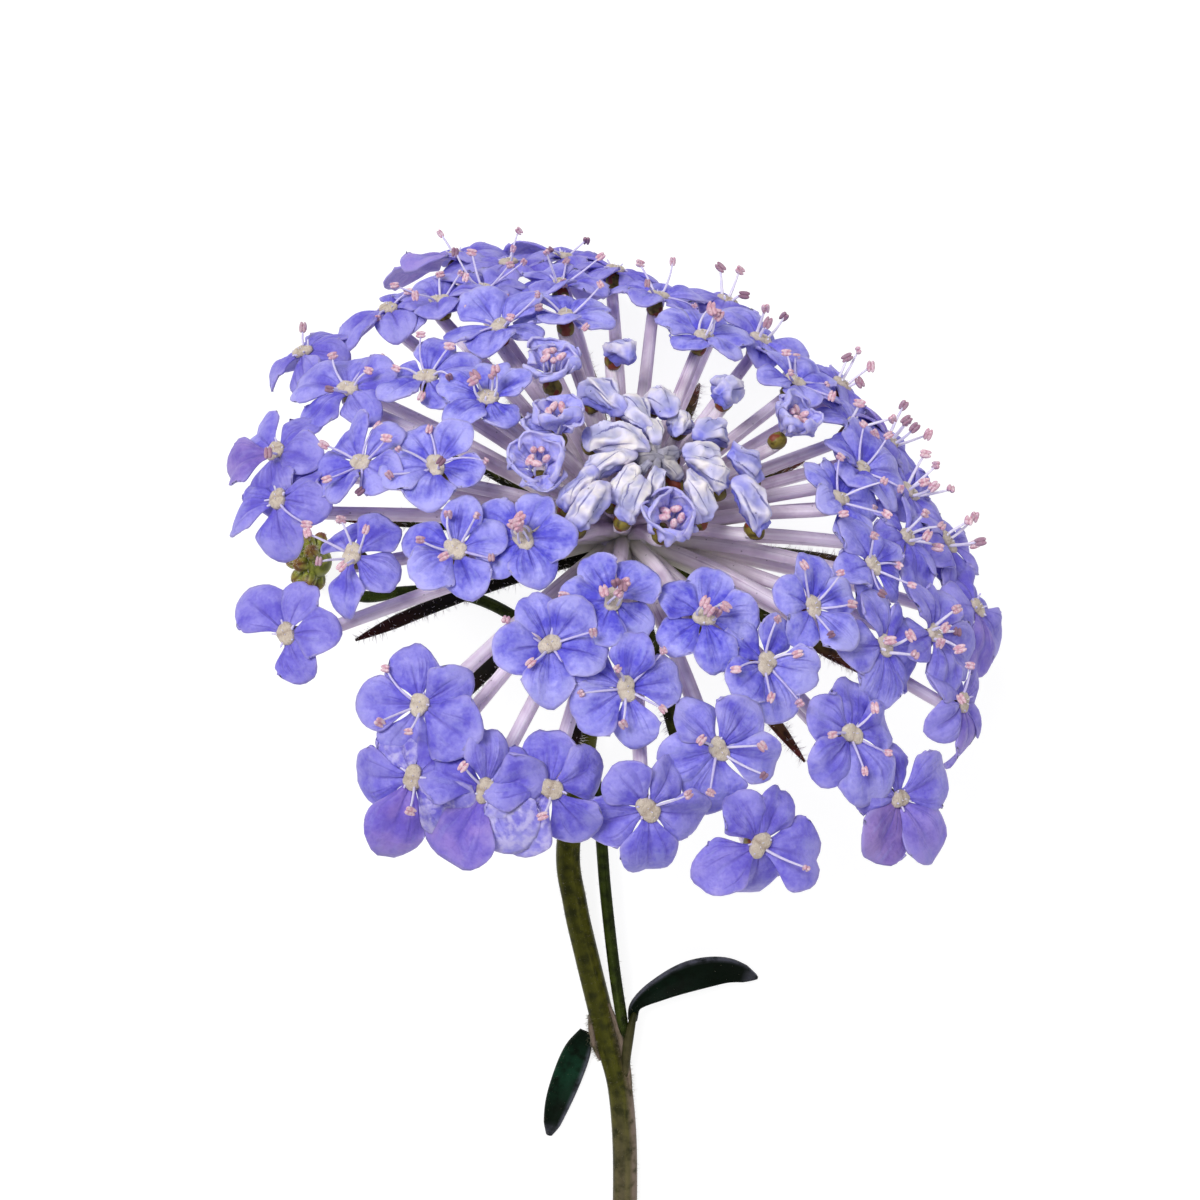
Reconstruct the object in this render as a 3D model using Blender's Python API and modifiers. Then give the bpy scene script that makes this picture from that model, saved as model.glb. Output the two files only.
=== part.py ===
"""Blue lace flower, picked and laid on its side.

One flat-topped umbel lies on a surface with its far rim down and its face turned up.
Its stem bends to the surface, runs along it and ends in a plain cut. A thinner side stem
leaves the main one at a node with two leaves, and carries a young green umbel that rests
on the surface under the left rim of the head.

The head is built in its own frame: +Z is the axis of the umbel, the origin is the point
where its pedicels meet, azimuths turn from +X to +Y, and reach is the distance from the
axis. Everything else is built where it lies. Lengths are in metres.
"""

import math
import random

import bmesh
import bpy
from mathutils import Matrix, Vector

MM = 0.001
NAME = "blue_lace_flower"

# The head in the part's frame
HEAD_BASE = Vector((-0.5, 32.7, 20.8)) * MM
HEAD_ELEVATION = math.radians(53)
HEAD_TURN = math.radians(24)

# The dome on which the florets stand, and how far they face outwards
RIM_REACH = 27 * MM
RIM_HEIGHT = 1.0 * MM
CROWN_HEIGHT = 10.0 * MM
FACE_SPREAD = 1.2
SPIN_JITTER = math.radians(14)
LEAN_JITTER = math.radians(6)
SEED = 11
# A floret with its disc this near the surface stands on two petals
STANDING_HEIGHT = 6 * MM
STANDING_SPIN = math.pi / 5

# Open florets, ring by ring from the rim inwards: azimuth in degrees and reach in mm
RIM_FLORETS = (
    (17, 29.0), (27, 26.5), (48, 25.0), (63, 25.0), (90, 27.3), (111, 26.5), (119, 29.0), (130, 27.5),
    (135, 31.5), (157, 26.0), (172, 28.5), (195, 26.5), (205, 26.0), (228, 27.5), (257, 27.5), (267, 26.0),
    (276, 24.5), (292, 24.5), (310, 27.0), (336, 28.5), (358, 28.6),
)
MIDDLE_FLORETS = (
    (4, 24.5), (22, 21.5), (35, 23.5), (51, 21.0), (80, 21.5), (104, 21.5), (125, 22.0), (141, 23.0),
    (150, 23.7), (181, 23.0), (201, 20.5), (221, 22.0), (251, 24.0), (305, 21.0), (333, 23.2), (352, 21.0),
)
INNER_FLORETS = (
    (8, 18.0), (24, 15.0), (37, 18.5), (66, 18.5), (92, 16.5), (131, 16.5), (149, 17.5), (175, 18.0),
    (178, 13.0), (205, 15.5), (231, 16.0), (239, 11.9), (265, 16.5), (276, 12.0), (285, 17.5), (307, 12.5),
    (321, 16.5), (343, 15.2),
)

OPEN_FLORETS = RIM_FLORETS + MIDDLE_FLORETS + INNER_FLORETS

# Corollas
PETALS = 5
PETAL_AT_AXIS = 2.8 * MM
PETAL_PER_REACH = 0.078
OUTWARD_PETAL_GAIN = 0.16
PETAL_THICKNESS = 0.62 * MM
DISC_RISE = 0.15 * MM
# One petal's outline: reach as a share of its length, and angle from its middle line
NOTCH = (0.36, 36)
SHOULDER = (0.87, 27)
PETAL_ARCH = 0.02
PETAL_DROOP = 0.07

# Stamens, two of each floret's five, at true size
STAMENS = 2
STAMEN_TURN = math.radians(144)
STAMEN_FIRST = math.radians(13.5)
STAMEN_OFFSET = 1.3 * MM
STAMEN_LEAN = math.radians(32)
STAMEN_LENGTH = 3.4 * MM
STAMEN_ROOT_RADIUS = 0.2 * MM
STAMEN_TIP_RADIUS = 0.15 * MM

# Pedicels, each flared into the ovary under its floret
PEDICEL_ROOT_RADIUS = 0.7 * MM
PEDICEL_TIP_RADIUS = 0.52 * MM
PEDICEL_LIFT = 0.7 * MM
PEDICEL_ROOT_REACH = 0.9 * MM
PEDICEL_ROOT_RISE = 0.6 * MM
OVARY_RADIUS = 0.75 * MM
OVARY_LENGTH = 1.5 * MM
OVARY_BELOW_DISC = 1.0 * MM
OVARY_BELOW_BUD = 0.4 * MM
RECEPTACLE_RADIUS = 3.2 * MM
RECEPTACLE_TOP_RADIUS = 1.8 * MM
RECEPTACLE_BOTTOM = -0.3 * MM
RECEPTACLE_HEIGHT = 2.6 * MM
RECEPTACLE_SIDES = 14

# A union's shell with fewer faces than this is the wall of a sealed hollow
MOST_HOLLOW_FACES = 48

# Half-open florets: azimuth in degrees and reach in mm
HALF_OPEN = ((151, 11.2), (181, 7.6), (210, 8.6), (299, 5.4), (52, 13.5))
# Closed buds: azimuth in degrees, reach in mm, share of full size, and turn off the radius in degrees
CLOSED_BUDS = (
    (120, 11.5, 1.0, 0), (75, 10.7, 1.1, 0), (144, 6.6, 1.05, 0), (103, 5.8, 1.0, 12), (58, 5.9, 1.0, 0),
    (32.5, 7.3, 0.9, -22), (3, 7.8, 1.05, -22), (230, 6.5, 0.85, 18), (244, 6.7, 0.95, 15),
    (129, 4.3, 1.0, 0), (82, 4.3, 0.85, 0), (37, 3.7, 0.8, 0), (15, 4.1, 0.9, -12), (341, 4.1, 0.9, -20),
    (266, 4.1, 0.85, 0), (248, 3.4, 0.8, 8), (214, 3.6, 0.9, 5), (176, 3.3, 1.15, 0),
    (115, 2.5, 0.7, 0), (290, 2.6, 0.7, 0), (195, 0.5, 0.55, 0), (56, 1.2, 0.5, 0), (350, 1.3, 0.5, 0),
)
BUD_SIZE = Vector((4.4, 2.5, 2.3)) * MM
HALF_OPEN_GAIN = 1.25
BUD_TILT = math.radians(24)
BUD_SEGMENTS = 6
BUD_RINGS_ROUND = 4
# A bud beyond this reach stands on a pedicel of its own, and the others on a smaller core
OWN_PEDICEL_REACH = 5.5 * MM
BUD_CORE_FOOT_RADIUS = 1.4 * MM
BUD_CORE_TOP_RADIUS = 3.7 * MM
BUD_CORE_TOP = 9.4 * MM
BUD_CORE_SIDES = 12

# Involucre: a collar under the pedicels and linear bracts below the lowest of them
CLEARANCE = 0.3 * MM
COLLAR_RADIUS = 2.7 * MM
COLLAR_FOOT_RADIUS = 2.2 * MM
COLLAR_HEIGHT = 1.0 * MM
COLLAR_SIDES = 14
BRACT_COUNT = 13
BRACT_FIRST = 2.5
BRACT_LENGTH = 21.5 * MM
BRACT_FALL = 2.4 * MM
BRACT_ROOT_RADIUS = 0.62 * MM
BRACT_TIP_RADIUS = 0.3 * MM
BRACT_STATIONS = (0.05, 0.35, 0.7, 1.0)

# Main stem, from the head to the cut: points in mm, where it lies
STEM_RADIUS = 1.05 * MM
STEM_TOP_RADIUS = 1.0 * MM
STEM_ROUTE = (
    (-2.0, 29.4, 15.4), (-2.6, 23.4, 10.6), (-3.4, 16.1, 6.6), (-4.8, 7.0, 2.9), (-4.25, 2.0, 1.7),
    (-3.2, -2.8, 1.1), (-1.5, -9.7, 0.98), (-0.28, -14.8, 0.98), (0.05, -23.4, 0.98),
    (-0.6, -40.0, 0.98), (-1.8, -59.0, 0.98),
)
STEM_STEPS = 3

# Side stem, from the node under the head to the young umbel
SIDE_STEM_RADIUS = 0.48 * MM
SIDE_STEM_ROUTE = (
    (0.05, -9.4, 2.15), (-0.35, -7.0, 2.0), (-0.9, -3.3, 1.9), (-1.65, 3.4, 1.9), (-2.4, 12.0, 1.8),
    (-4.0, 19.4, 1.8), (-6.5, 24.2, 1.9), (-10.7, 27.3, 2.1), (-14.9, 28.7, 2.4), (-18.8, 28.7, 2.6),
    (-22.2, 28.3, 2.8), (-24.8, 29.4, 2.9),
)
YOUNG_UMBEL = Vector((-26.4, 31.3, 2.55)) * MM
YOUNG_BUDS = 12
YOUNG_BUD_SIZE = Vector((1.9, 1.35, 1.3)) * MM
YOUNG_HUB_RADIUS = 1.5 * MM
YOUNG_SPREAD = 1.7 * MM
YOUNG_OPENING = 0.62
GOLDEN_TURN = math.pi * (3 - math.sqrt(5))

# Leaves: middle line in mm, and half width in mm at each point
LEAF_THICKNESS = 0.6 * MM
RIGHT_LEAF = (
    ((0.66, -8.1, 2.0), 0.25), ((1.0, -6.6, 2.6), 0.4), ((2.7, -5.25, 3.1), 0.8),
    ((5.6, -3.95, 3.2), 1.15), ((8.6, -3.65, 2.5), 1.0), ((11.5, -4.6, 0.7), 0.4),
)
LEFT_LEAF = (
    ((-3.3, -9.2, 1.4), 0.45), ((-4.05, -10.9, 0.9), 1.0), ((-4.9, -13.1, 0.6), 1.1),
    ((-5.8, -15.6, 0.6), 0.9), ((-6.5, -18.2, 0.6), 0.35),
)

# Colours, linear, with roughness
PETAL_BLUE = ((0.17, 0.17, 0.72), 0.55)
PEDICEL_LILAC = ((0.52, 0.46, 0.60), 0.5)
BRACT_GREEN = ((0.05, 0.07, 0.02), 0.6)
STEM_GREEN = ((0.045, 0.07, 0.012), 0.55)
SIDE_STEM_GREEN = ((0.03, 0.06, 0.01), 0.55)
YOUNG_GREEN = ((0.16, 0.17, 0.04), 0.55)
LEAF_GREEN = ((0.01, 0.04, 0.02), 0.5)


def clear_scene():
    """Removes the objects that are in the scene."""
    for obj in list(bpy.data.objects):
        bpy.data.objects.remove(obj, do_unlink=True)


def new_collection(name):
    """A new collection in the scene."""
    collection = bpy.data.collections.new(name)
    bpy.context.scene.collection.children.link(collection)
    return collection


def give_material(obj, finish):
    """A Principled material of the sub-part's own."""
    colour, roughness = finish
    material = bpy.data.materials.new(obj.name)
    material.use_nodes = True
    shader = material.node_tree.nodes["Principled BSDF"]
    shader.inputs["Base Color"].default_value = (*colour, 1.0)
    shader.inputs["Roughness"].default_value = roughness
    shader.inputs["Metallic"].default_value = 0.0
    obj.data.materials.clear()
    obj.data.materials.append(material)


def mesh_object(name, bm, collection, place=None):
    """An object from a bmesh, which it frees, with its vertices moved by the matrix place."""
    if place is not None:
        bmesh.ops.transform(bm, matrix=place, verts=bm.verts)
    bmesh.ops.recalc_face_normals(bm, faces=bm.faces)
    mesh = bpy.data.meshes.new(name)
    bm.to_mesh(mesh)
    bm.free()
    obj = bpy.data.objects.new(name, mesh)
    collection.objects.link(obj)
    return obj


def evaluated_mesh(obj):
    """The object's mesh with its modifiers applied, in world space and welded."""
    graph = bpy.context.evaluated_depsgraph_get()
    mesh = bpy.data.meshes.new_from_object(obj.evaluated_get(graph))
    bm = bmesh.new()
    bm.from_mesh(mesh)
    bpy.data.meshes.remove(mesh)
    bmesh.ops.transform(bm, matrix=obj.matrix_world, verts=bm.verts)
    bmesh.ops.remove_doubles(bm, verts=bm.verts, dist=1e-7)
    bmesh.ops.recalc_face_normals(bm, faces=bm.faces)
    return bm


def tube(name, points, radii, collection, sides_half=0):
    """A closed tube mesh through the points, made from a curve with filled caps."""
    data = bpy.data.curves.new(name, "CURVE")
    data.dimensions = "3D"
    data.bevel_depth = 1.0
    data.bevel_resolution = sides_half
    data.use_fill_caps = True
    spline = data.splines.new("POLY")
    spline.points.add(len(points) - 1)
    for point, place, radius in zip(spline.points, points, radii):
        point.co = (*place, 1.0)
        point.radius = radius
    curve = bpy.data.objects.new(name, data)
    collection.objects.link(curve)
    bpy.context.view_layer.update()
    bm = evaluated_mesh(curve)
    bpy.data.objects.remove(curve, do_unlink=True)
    return mesh_object(name, bm, collection)


def smooth_path(points, steps):
    """Points along a Catmull-Rom curve through the given ones, with steps to each stretch."""
    points = [Vector(point) for point in points]
    ends = [2 * points[0] - points[1], *points, 2 * points[-1] - points[-2]]
    path = []
    for before, start, end, after in zip(ends, ends[1:], ends[2:], ends[3:]):
        for step in range(steps):
            t = step / steps
            path.append(0.5 * (
                2 * start
                + (end - before) * t
                + (2 * before - 5 * start + 4 * end - after) * t**2
                + (3 * start - before - 3 * end + after) * t**3
            ))
    path.append(points[-1])
    return path


def fill_hollows(bm):
    """Deletes the walls of each small hollow that a union sealed inside the body."""
    unseen = set(bm.faces)
    while unseen:
        shell = {unseen.pop()}
        newest = shell
        while newest:
            around = {face for known in newest for edge in known.edges for face in edge.link_faces}
            newest = around - shell
            shell = shell | newest
        unseen -= shell
        if len(shell) < MOST_HOLLOW_FACES:
            bmesh.ops.delete(bm, geom=list(shell), context="FACES")


def fuse(name, solids, collection, finish):
    """One object from overlapping solids, by a Boolean union that is applied."""
    others = new_collection(name + "_pieces")
    for solid in solids[1:]:
        for holder in list(solid.users_collection):
            holder.objects.unlink(solid)
        others.objects.link(solid)
    union = solids[0].modifiers.new("Union", "BOOLEAN")
    union.operation = "UNION"
    union.operand_type = "COLLECTION"
    union.collection = others
    union.solver = "MANIFOLD"
    bpy.context.view_layer.update()
    bm = evaluated_mesh(solids[0])
    fill_hollows(bm)
    for solid in solids:
        bpy.data.objects.remove(solid, do_unlink=True)
    bpy.data.collections.remove(others)
    fused = mesh_object(name, bm, collection)
    give_material(fused, finish)
    return fused


def head_matrix():
    """From the head's own frame to the part's."""
    tilt = Matrix.Rotation(HEAD_ELEVATION - math.pi / 2, 4, "X")
    turn = Matrix.Rotation(-HEAD_TURN, 4, "Z")
    return Matrix.Translation(HEAD_BASE) @ turn @ tilt


def dome_height(reach):
    """Height of the dome over the base at a distance from the axis."""
    return CROWN_HEIGHT - (CROWN_HEIGHT - RIM_HEIGHT) * (reach / RIM_REACH) ** 2


def dome_matrix(azimuth, reach, spin=0.0, lean=0.0):
    """A floret's frame in the head's: +Z faces out of the dome, +X away from the axis."""
    slope = 2 * (CROWN_HEIGHT - RIM_HEIGHT) * reach / RIM_REACH**2
    facing = math.atan(FACE_SPREAD * slope) + lean
    around = Matrix.Rotation(azimuth, 4, "Z")
    place = Matrix.Translation((reach, 0, dome_height(reach)))
    return around @ place @ Matrix.Rotation(facing, 4, "Y") @ Matrix.Rotation(spin, 4, "Z")


def floret_frames(florets, head):
    """The frame and the reach of each open floret, with seeded turns and leans."""
    frames = []
    for azimuth, reach in florets:
        draw = random.Random(SEED + azimuth)
        spin = draw.uniform(-SPIN_JITTER, SPIN_JITTER)
        lean = draw.uniform(-LEAN_JITTER, LEAN_JITTER)
        frame = dome_matrix(math.radians(azimuth), reach * MM, spin, lean)
        if (head @ frame.translation).z < STANDING_HEIGHT:
            frame = dome_matrix(math.radians(azimuth), reach * MM, STANDING_SPIN)
        frames.append((frame, reach * MM))
    return frames


def petal_lengths(reach):
    """Lengths of a floret's petals, the one that points away from the axis first."""
    plain = PETAL_AT_AXIS + PETAL_PER_REACH * reach
    outward = OUTWARD_PETAL_GAIN * (reach / RIM_REACH) ** 2
    turns = [2 * math.pi * i / PETALS for i in range(PETALS)]
    return [plain * (1 + outward * math.cos(turn)) for turn in turns]


def corolla(reach):
    """The upper surface of five joined petals round a raised disc, as a bmesh."""
    bm = bmesh.new()
    lengths = petal_lengths(reach)

    def point(length, share, degrees, turn, height):
        angle = turn + math.radians(degrees)
        x = length * share * math.cos(angle)
        y = length * share * math.sin(angle)
        return bm.verts.new((x, y, height))

    disc = bm.verts.new((0, 0, DISC_RISE))
    turns = [2 * math.pi * i / PETALS for i in range(PETALS)]
    notches = [point(min(lengths), NOTCH[0], NOTCH[1], turn, 0) for turn in turns]
    for i, (length, turn) in enumerate(zip(lengths, turns)):
        rise = PETAL_ARCH * length
        drop = -PETAL_DROOP * length
        rim = [
            notches[i - 1],
            point(length, SHOULDER[0], -SHOULDER[1], turn, rise),
            point(length, 1, 0, turn, drop),
            point(length, SHOULDER[0], SHOULDER[1], turn, rise),
            notches[i],
        ]
        for start, end in zip(rim, rim[1:]):
            bm.faces.new((disc, start, end))
    return bm


def stamens(place, collection):
    """The stamens of one floret, which lean away from each other over its petals."""
    solids = []
    for i in range(STAMENS):
        bm = bmesh.new()
        bmesh.ops.create_cone(
            bm, cap_ends=True, segments=3, radius1=STAMEN_ROOT_RADIUS, radius2=STAMEN_TIP_RADIUS,
            depth=STAMEN_LENGTH,
        )
        around = Matrix.Rotation(STAMEN_FIRST + STAMEN_TURN * i, 4, "Z")
        lean = Matrix.Rotation(STAMEN_LEAN, 4, "Y")
        root = Matrix.Translation((STAMEN_OFFSET, 0, 0))
        rise = Matrix.Translation((0, 0, STAMEN_LENGTH / 2))
        solids.append(mesh_object("stamen", bm, collection, place @ around @ root @ lean @ rise))
    return solids


def build_corollas(name, florets, collection, head):
    """The corollas and stamens of these open florets, fused where their petals overlap."""
    solids = []
    for frame, reach in floret_frames(florets, head):
        floret = mesh_object("floret", corolla(reach), collection, head @ frame)
        thick = floret.modifiers.new("Thickness", "SOLIDIFY")
        thick.thickness = PETAL_THICKNESS
        thick.offset = -1
        thick.use_even_offset = True
        bpy.context.view_layer.update()
        solids.append(mesh_object("floret", evaluated_mesh(floret), collection))
        bpy.data.objects.remove(floret, do_unlink=True)
        solids += stamens(head @ frame @ Matrix.Translation((0, 0, -PETAL_THICKNESS / 2)), collection)
    return fuse(name, solids, collection, PETAL_BLUE)


def pedicel(frame, below, head, collection):
    """One pedicel, from inside the receptacle to an ovary that ends this far below a frame."""
    top = frame @ Vector((0, 0, -below))
    neck = frame @ Vector((0, 0, -below - OVARY_LENGTH))
    root = neck.normalized() * PEDICEL_ROOT_REACH + Vector((0, 0, PEDICEL_ROOT_RISE))
    middle = root.lerp(neck, 0.5) + Vector((0, 0, PEDICEL_LIFT))
    points = [head @ point for point in (root, middle, neck, top)]
    radii = (PEDICEL_ROOT_RADIUS, PEDICEL_TIP_RADIUS, PEDICEL_TIP_RADIUS, OVARY_RADIUS)
    return tube("pedicel", points, radii, collection)


def bud(azimuth, reach, share, turn, collection, head):
    """A closed bud that lies along the dome with its tip about towards the axis."""
    bm = bmesh.new()
    bmesh.ops.create_uvsphere(bm, u_segments=BUD_SEGMENTS, v_segments=BUD_RINGS_ROUND, radius=0.5)
    bmesh.ops.rotate(bm, verts=bm.verts, matrix=Matrix.Rotation(math.pi / 2, 3, "Y"))
    bmesh.ops.scale(bm, verts=bm.verts, vec=BUD_SIZE * share)
    frame = dome_matrix(math.radians(azimuth), reach * MM, math.radians(turn))
    return mesh_object("bud", bm, collection, head @ frame @ Matrix.Rotation(BUD_TILT, 4, "Y"))


def cone(name, radius_bottom, radius_top, bottom, height, sides, collection, head):
    """A closed cone or cylinder about the head's axis."""
    bm = bmesh.new()
    bmesh.ops.create_cone(
        bm, cap_ends=True, segments=sides, radius1=radius_bottom, radius2=radius_top, depth=height
    )
    lift = Matrix.Translation((0, 0, bottom + height / 2))
    return mesh_object(name, bm, collection, head @ lift)


def build_pedicels_and_buds(collection, head):
    """Receptacle, pedicels, ovaries and buds, which all grow from each other."""
    solids = [cone(
        "receptacle", RECEPTACLE_RADIUS, RECEPTACLE_TOP_RADIUS, RECEPTACLE_BOTTOM,
        RECEPTACLE_HEIGHT, RECEPTACLE_SIDES, collection, head,
    )]
    for frame, _ in floret_frames(OPEN_FLORETS, head):
        solids.append(pedicel(frame, OVARY_BELOW_DISC, head, collection))
    half_open = [(azimuth, reach, HALF_OPEN_GAIN, 0) for azimuth, reach in HALF_OPEN]
    for azimuth, reach, share, turn in (*half_open, *CLOSED_BUDS):
        solids.append(bud(azimuth, reach, share, turn, collection, head))
        if reach * MM > OWN_PEDICEL_REACH:
            frame = dome_matrix(math.radians(azimuth), reach * MM)
            solids.append(pedicel(frame, OVARY_BELOW_BUD, head, collection))
    solids.append(cone(
        "bud_core", BUD_CORE_FOOT_RADIUS, BUD_CORE_TOP_RADIUS, RECEPTACLE_BOTTOM,
        BUD_CORE_TOP - RECEPTACLE_BOTTOM, BUD_CORE_SIDES, collection, head,
    ))
    return fuse("pedicels_and_buds", solids, collection, PEDICEL_LILAC)


def build_involucre(collection, head):
    """The collar and the bracts that spread under the lowest pedicels."""
    top = RECEPTACLE_BOTTOM - CLEARANCE
    solids = [cone(
        "collar", COLLAR_FOOT_RADIUS, COLLAR_RADIUS, top - COLLAR_HEIGHT,
        COLLAR_HEIGHT, COLLAR_SIDES, collection, head,
    )]
    for i in range(BRACT_COUNT):
        around = Matrix.Rotation(math.radians(BRACT_FIRST + 360 * i / BRACT_COUNT), 3, "Z")
        level = top - BRACT_ROOT_RADIUS
        points = []
        radii = []
        for share in BRACT_STATIONS:
            spot = Vector((BRACT_LENGTH * share, 0, level - BRACT_FALL * share**2))
            points.append(head @ (around @ spot))
            radii.append(BRACT_ROOT_RADIUS + (BRACT_TIP_RADIUS - BRACT_ROOT_RADIUS) * share)
        solids.append(tube("bract", points, radii, collection))
    return fuse("involucre", solids, collection, BRACT_GREEN)


def build_main_stem(collection, head):
    """The stem from under the collar to its cut end on the surface."""
    top = head @ Vector((0, 0, RECEPTACLE_BOTTOM - COLLAR_HEIGHT - 2 * CLEARANCE))
    path = smooth_path([top, *(Vector(point) * MM for point in STEM_ROUTE)], STEM_STEPS)
    last = len(path) - 1
    radii = [STEM_TOP_RADIUS + (STEM_RADIUS - STEM_TOP_RADIUS) * i / last for i in range(last + 1)]
    stem = tube("main_stem", path, radii, collection, sides_half=2)
    give_material(stem, STEM_GREEN)
    return stem


def build_side_stem(collection):
    """The thin stem that carries the young umbel."""
    path = smooth_path([Vector(point) * MM for point in SIDE_STEM_ROUTE], STEM_STEPS)
    stem = tube("side_stem", path, [SIDE_STEM_RADIUS] * len(path), collection, sides_half=1)
    give_material(stem, SIDE_STEM_GREEN)
    return stem


def build_young_umbel(collection):
    """A hub with small green buds over the side that faces away from the side stem."""
    hub = bmesh.new()
    bmesh.ops.create_icosphere(hub, subdivisions=1, radius=YOUNG_HUB_RADIUS)
    place = Matrix.Translation(YOUNG_UMBEL)
    solids = [mesh_object("hub", hub, collection, place)]
    for i in range(YOUNG_BUDS):
        bm = bmesh.new()
        bmesh.ops.create_uvsphere(bm, u_segments=BUD_SEGMENTS, v_segments=BUD_RINGS_ROUND, radius=0.5)
        bmesh.ops.rotate(bm, verts=bm.verts, matrix=Matrix.Rotation(math.pi / 2, 3, "Y"))
        bmesh.ops.scale(bm, verts=bm.verts, vec=YOUNG_BUD_SIZE)
        open_angle = math.acos(1 - 2 * YOUNG_OPENING * (i + 0.5) / YOUNG_BUDS)
        roll = Matrix.Rotation(GOLDEN_TURN * i, 4, "X")
        turn = Matrix.Rotation(math.pi - open_angle, 4, "Y")
        out = Matrix.Translation((YOUNG_SPREAD, 0, 0))
        solids.append(mesh_object("bud", bm, collection, place @ roll @ turn @ out))
    return fuse("young_umbel", solids, collection, YOUNG_GREEN)


def build_leaf(name, stations, collection):
    """A thin blade along its middle line, with its faces level from side to side."""
    bm = bmesh.new()
    middles = [Vector(point) * MM for point, _ in stations]
    rows = []
    for i, (middle, (_, half_width)) in enumerate(zip(middles, stations)):
        along = middles[min(i + 1, len(middles) - 1)] - middles[max(i - 1, 0)]
        across = Vector((-along.y, along.x, 0)).normalized() * half_width * MM
        rows.append([bm.verts.new(middle + across * side) for side in (-1, 0, 1)])
    for row, after in zip(rows, rows[1:]):
        for side in range(2):
            bm.faces.new((row[side], after[side], after[side + 1]))
            bm.faces.new((row[side], after[side + 1], row[side + 1]))
    leaf = mesh_object(name, bm, collection)
    thick = leaf.modifiers.new("Thickness", "SOLIDIFY")
    thick.thickness = LEAF_THICKNESS
    thick.offset = -1
    give_material(leaf, LEAF_GREEN)
    return leaf


def main():
    """Builds the flower."""
    clear_scene()
    flower = new_collection(NAME)
    head = head_matrix()
    for obj in (
        build_corollas("corollas", OPEN_FLORETS, flower, head),
        build_pedicels_and_buds(flower, head),
        build_involucre(flower, head),
        build_main_stem(flower, head),
        build_side_stem(flower),
        build_young_umbel(flower),
    ):
        obj.data.shade_smooth()
    build_leaf("leaf_right", RIGHT_LEAF, flower)
    build_leaf("leaf_left", LEFT_LEAF, flower)


main()
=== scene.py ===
"""Blue lace flower, picked and laid on its side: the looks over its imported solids.

The head is placed by the same rules and numbers as the solids. In its own frame +Z is the
axis of the umbel, the origin is the point where its pedicels meet, azimuths turn from +X
to +Y, and reach is the distance from the axis. Lengths are in metres.
"""

import logging
import math
import random
from collections.abc import Mapping, Sequence
from dataclasses import dataclass, field
from enum import Enum

import bpy
import numpy as np
from mathutils import Matrix, Vector, noise


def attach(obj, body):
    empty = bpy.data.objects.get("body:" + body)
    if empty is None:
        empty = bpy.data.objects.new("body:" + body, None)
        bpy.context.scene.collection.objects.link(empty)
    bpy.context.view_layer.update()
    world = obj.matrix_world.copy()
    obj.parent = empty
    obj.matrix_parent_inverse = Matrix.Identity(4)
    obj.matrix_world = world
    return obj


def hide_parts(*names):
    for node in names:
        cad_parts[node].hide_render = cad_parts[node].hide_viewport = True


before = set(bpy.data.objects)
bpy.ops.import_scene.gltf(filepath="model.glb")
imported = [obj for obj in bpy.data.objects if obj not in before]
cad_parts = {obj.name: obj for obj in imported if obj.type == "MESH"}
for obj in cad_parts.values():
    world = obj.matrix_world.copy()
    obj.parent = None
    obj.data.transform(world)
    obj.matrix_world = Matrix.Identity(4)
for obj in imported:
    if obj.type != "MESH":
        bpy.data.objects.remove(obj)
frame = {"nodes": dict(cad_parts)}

LOG = logging.getLogger("blue_lace_flower")
MM = 0.001
SEED = 11
TINY = 1e-12
PETAL_COUNT = 5
FULL_TURN = 2 * math.pi
ODD_DIRECTION = (0.31, 0.17, 0.93)
HAIR_DIRECTION = (0.29, 0.53, 0.8)
Array = np.ndarray
Colour = tuple[float, float, float, float]
Span = tuple[float, float]
Place = tuple[float, float, float]


def tone(red: int, green: int, blue: int) -> Colour:
    """A colour for a socket.

    Args:
        red: Red from 0 to 255, as on a screen.
        green: Green in the same way.
        blue: Blue in the same way.

    Returns:
        The linear colour, without transparency.
    """
    parts = [value / 255 for value in (red, green, blue)]
    linear = [p / 12.92 if p <= 0.04045 else ((p + 0.055) / 1.055) ** 2.4 for p in parts]
    return (linear[0], linear[1], linear[2], 1.0)


# Shells and pieces


def placed(points: Array, matrix: Matrix) -> Array:
    """Points moved by a matrix.

    Args:
        points: Points, with their coordinates on the last axis.
        matrix: The frame that they are given in.

    Returns:
        The points in the part's frame.
    """
    values = np.array(matrix)
    return points @ values[:3, :3].T + values[:3, 3]


def unit(vectors: Array) -> Array:
    """Vectors in the same directions with a length of 1."""
    return vectors / np.maximum(np.linalg.norm(vectors, axis=-1, keepdims=True), TINY)


def hump(offset: Array, width: float) -> Array:
    """A bell curve that is 1 where the offset is 0 and falls off over a width."""
    return np.exp(-((offset / width) ** 2))


def spun(angle: float) -> Matrix:
    """A turn about +Z."""
    return Matrix.Rotation(angle, 4, "Z")


def tossed(place: Array, draw: np.random.Generator) -> Matrix:
    """A frame at a place, turned at random."""
    facing = Vector(draw.normal(0, 1, 3)).normalized().to_track_quat("X", "Z")
    return Matrix.Translation(Vector(place)) @ facing.to_matrix().to_4x4()


def grid_quads(rows: int, columns: int, closed: bool = False) -> Array:
    """Quads between the points of a grid that is laid out row by row.

    Args:
        rows: Number of rows.
        columns: Number of points in a row.
        closed: Whether the last column joins the first.

    Returns:
        One row of four point numbers for each quad.
    """
    row = np.arange(rows - 1)[:, None] * columns
    column = np.arange(columns if closed else columns - 1)[None, :]
    after = (column + 1) % columns
    corners = [row + column, row + after, row + columns + after, row + columns + column]
    return np.stack(corners, axis=-1).reshape(-1, 4)


@dataclass
class Shell:
    """A closed surface: points, quads and triangles."""

    points: Array
    quads: Array
    triangles: Array = field(default_factory=lambda: np.zeros((0, 3), int))


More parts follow.
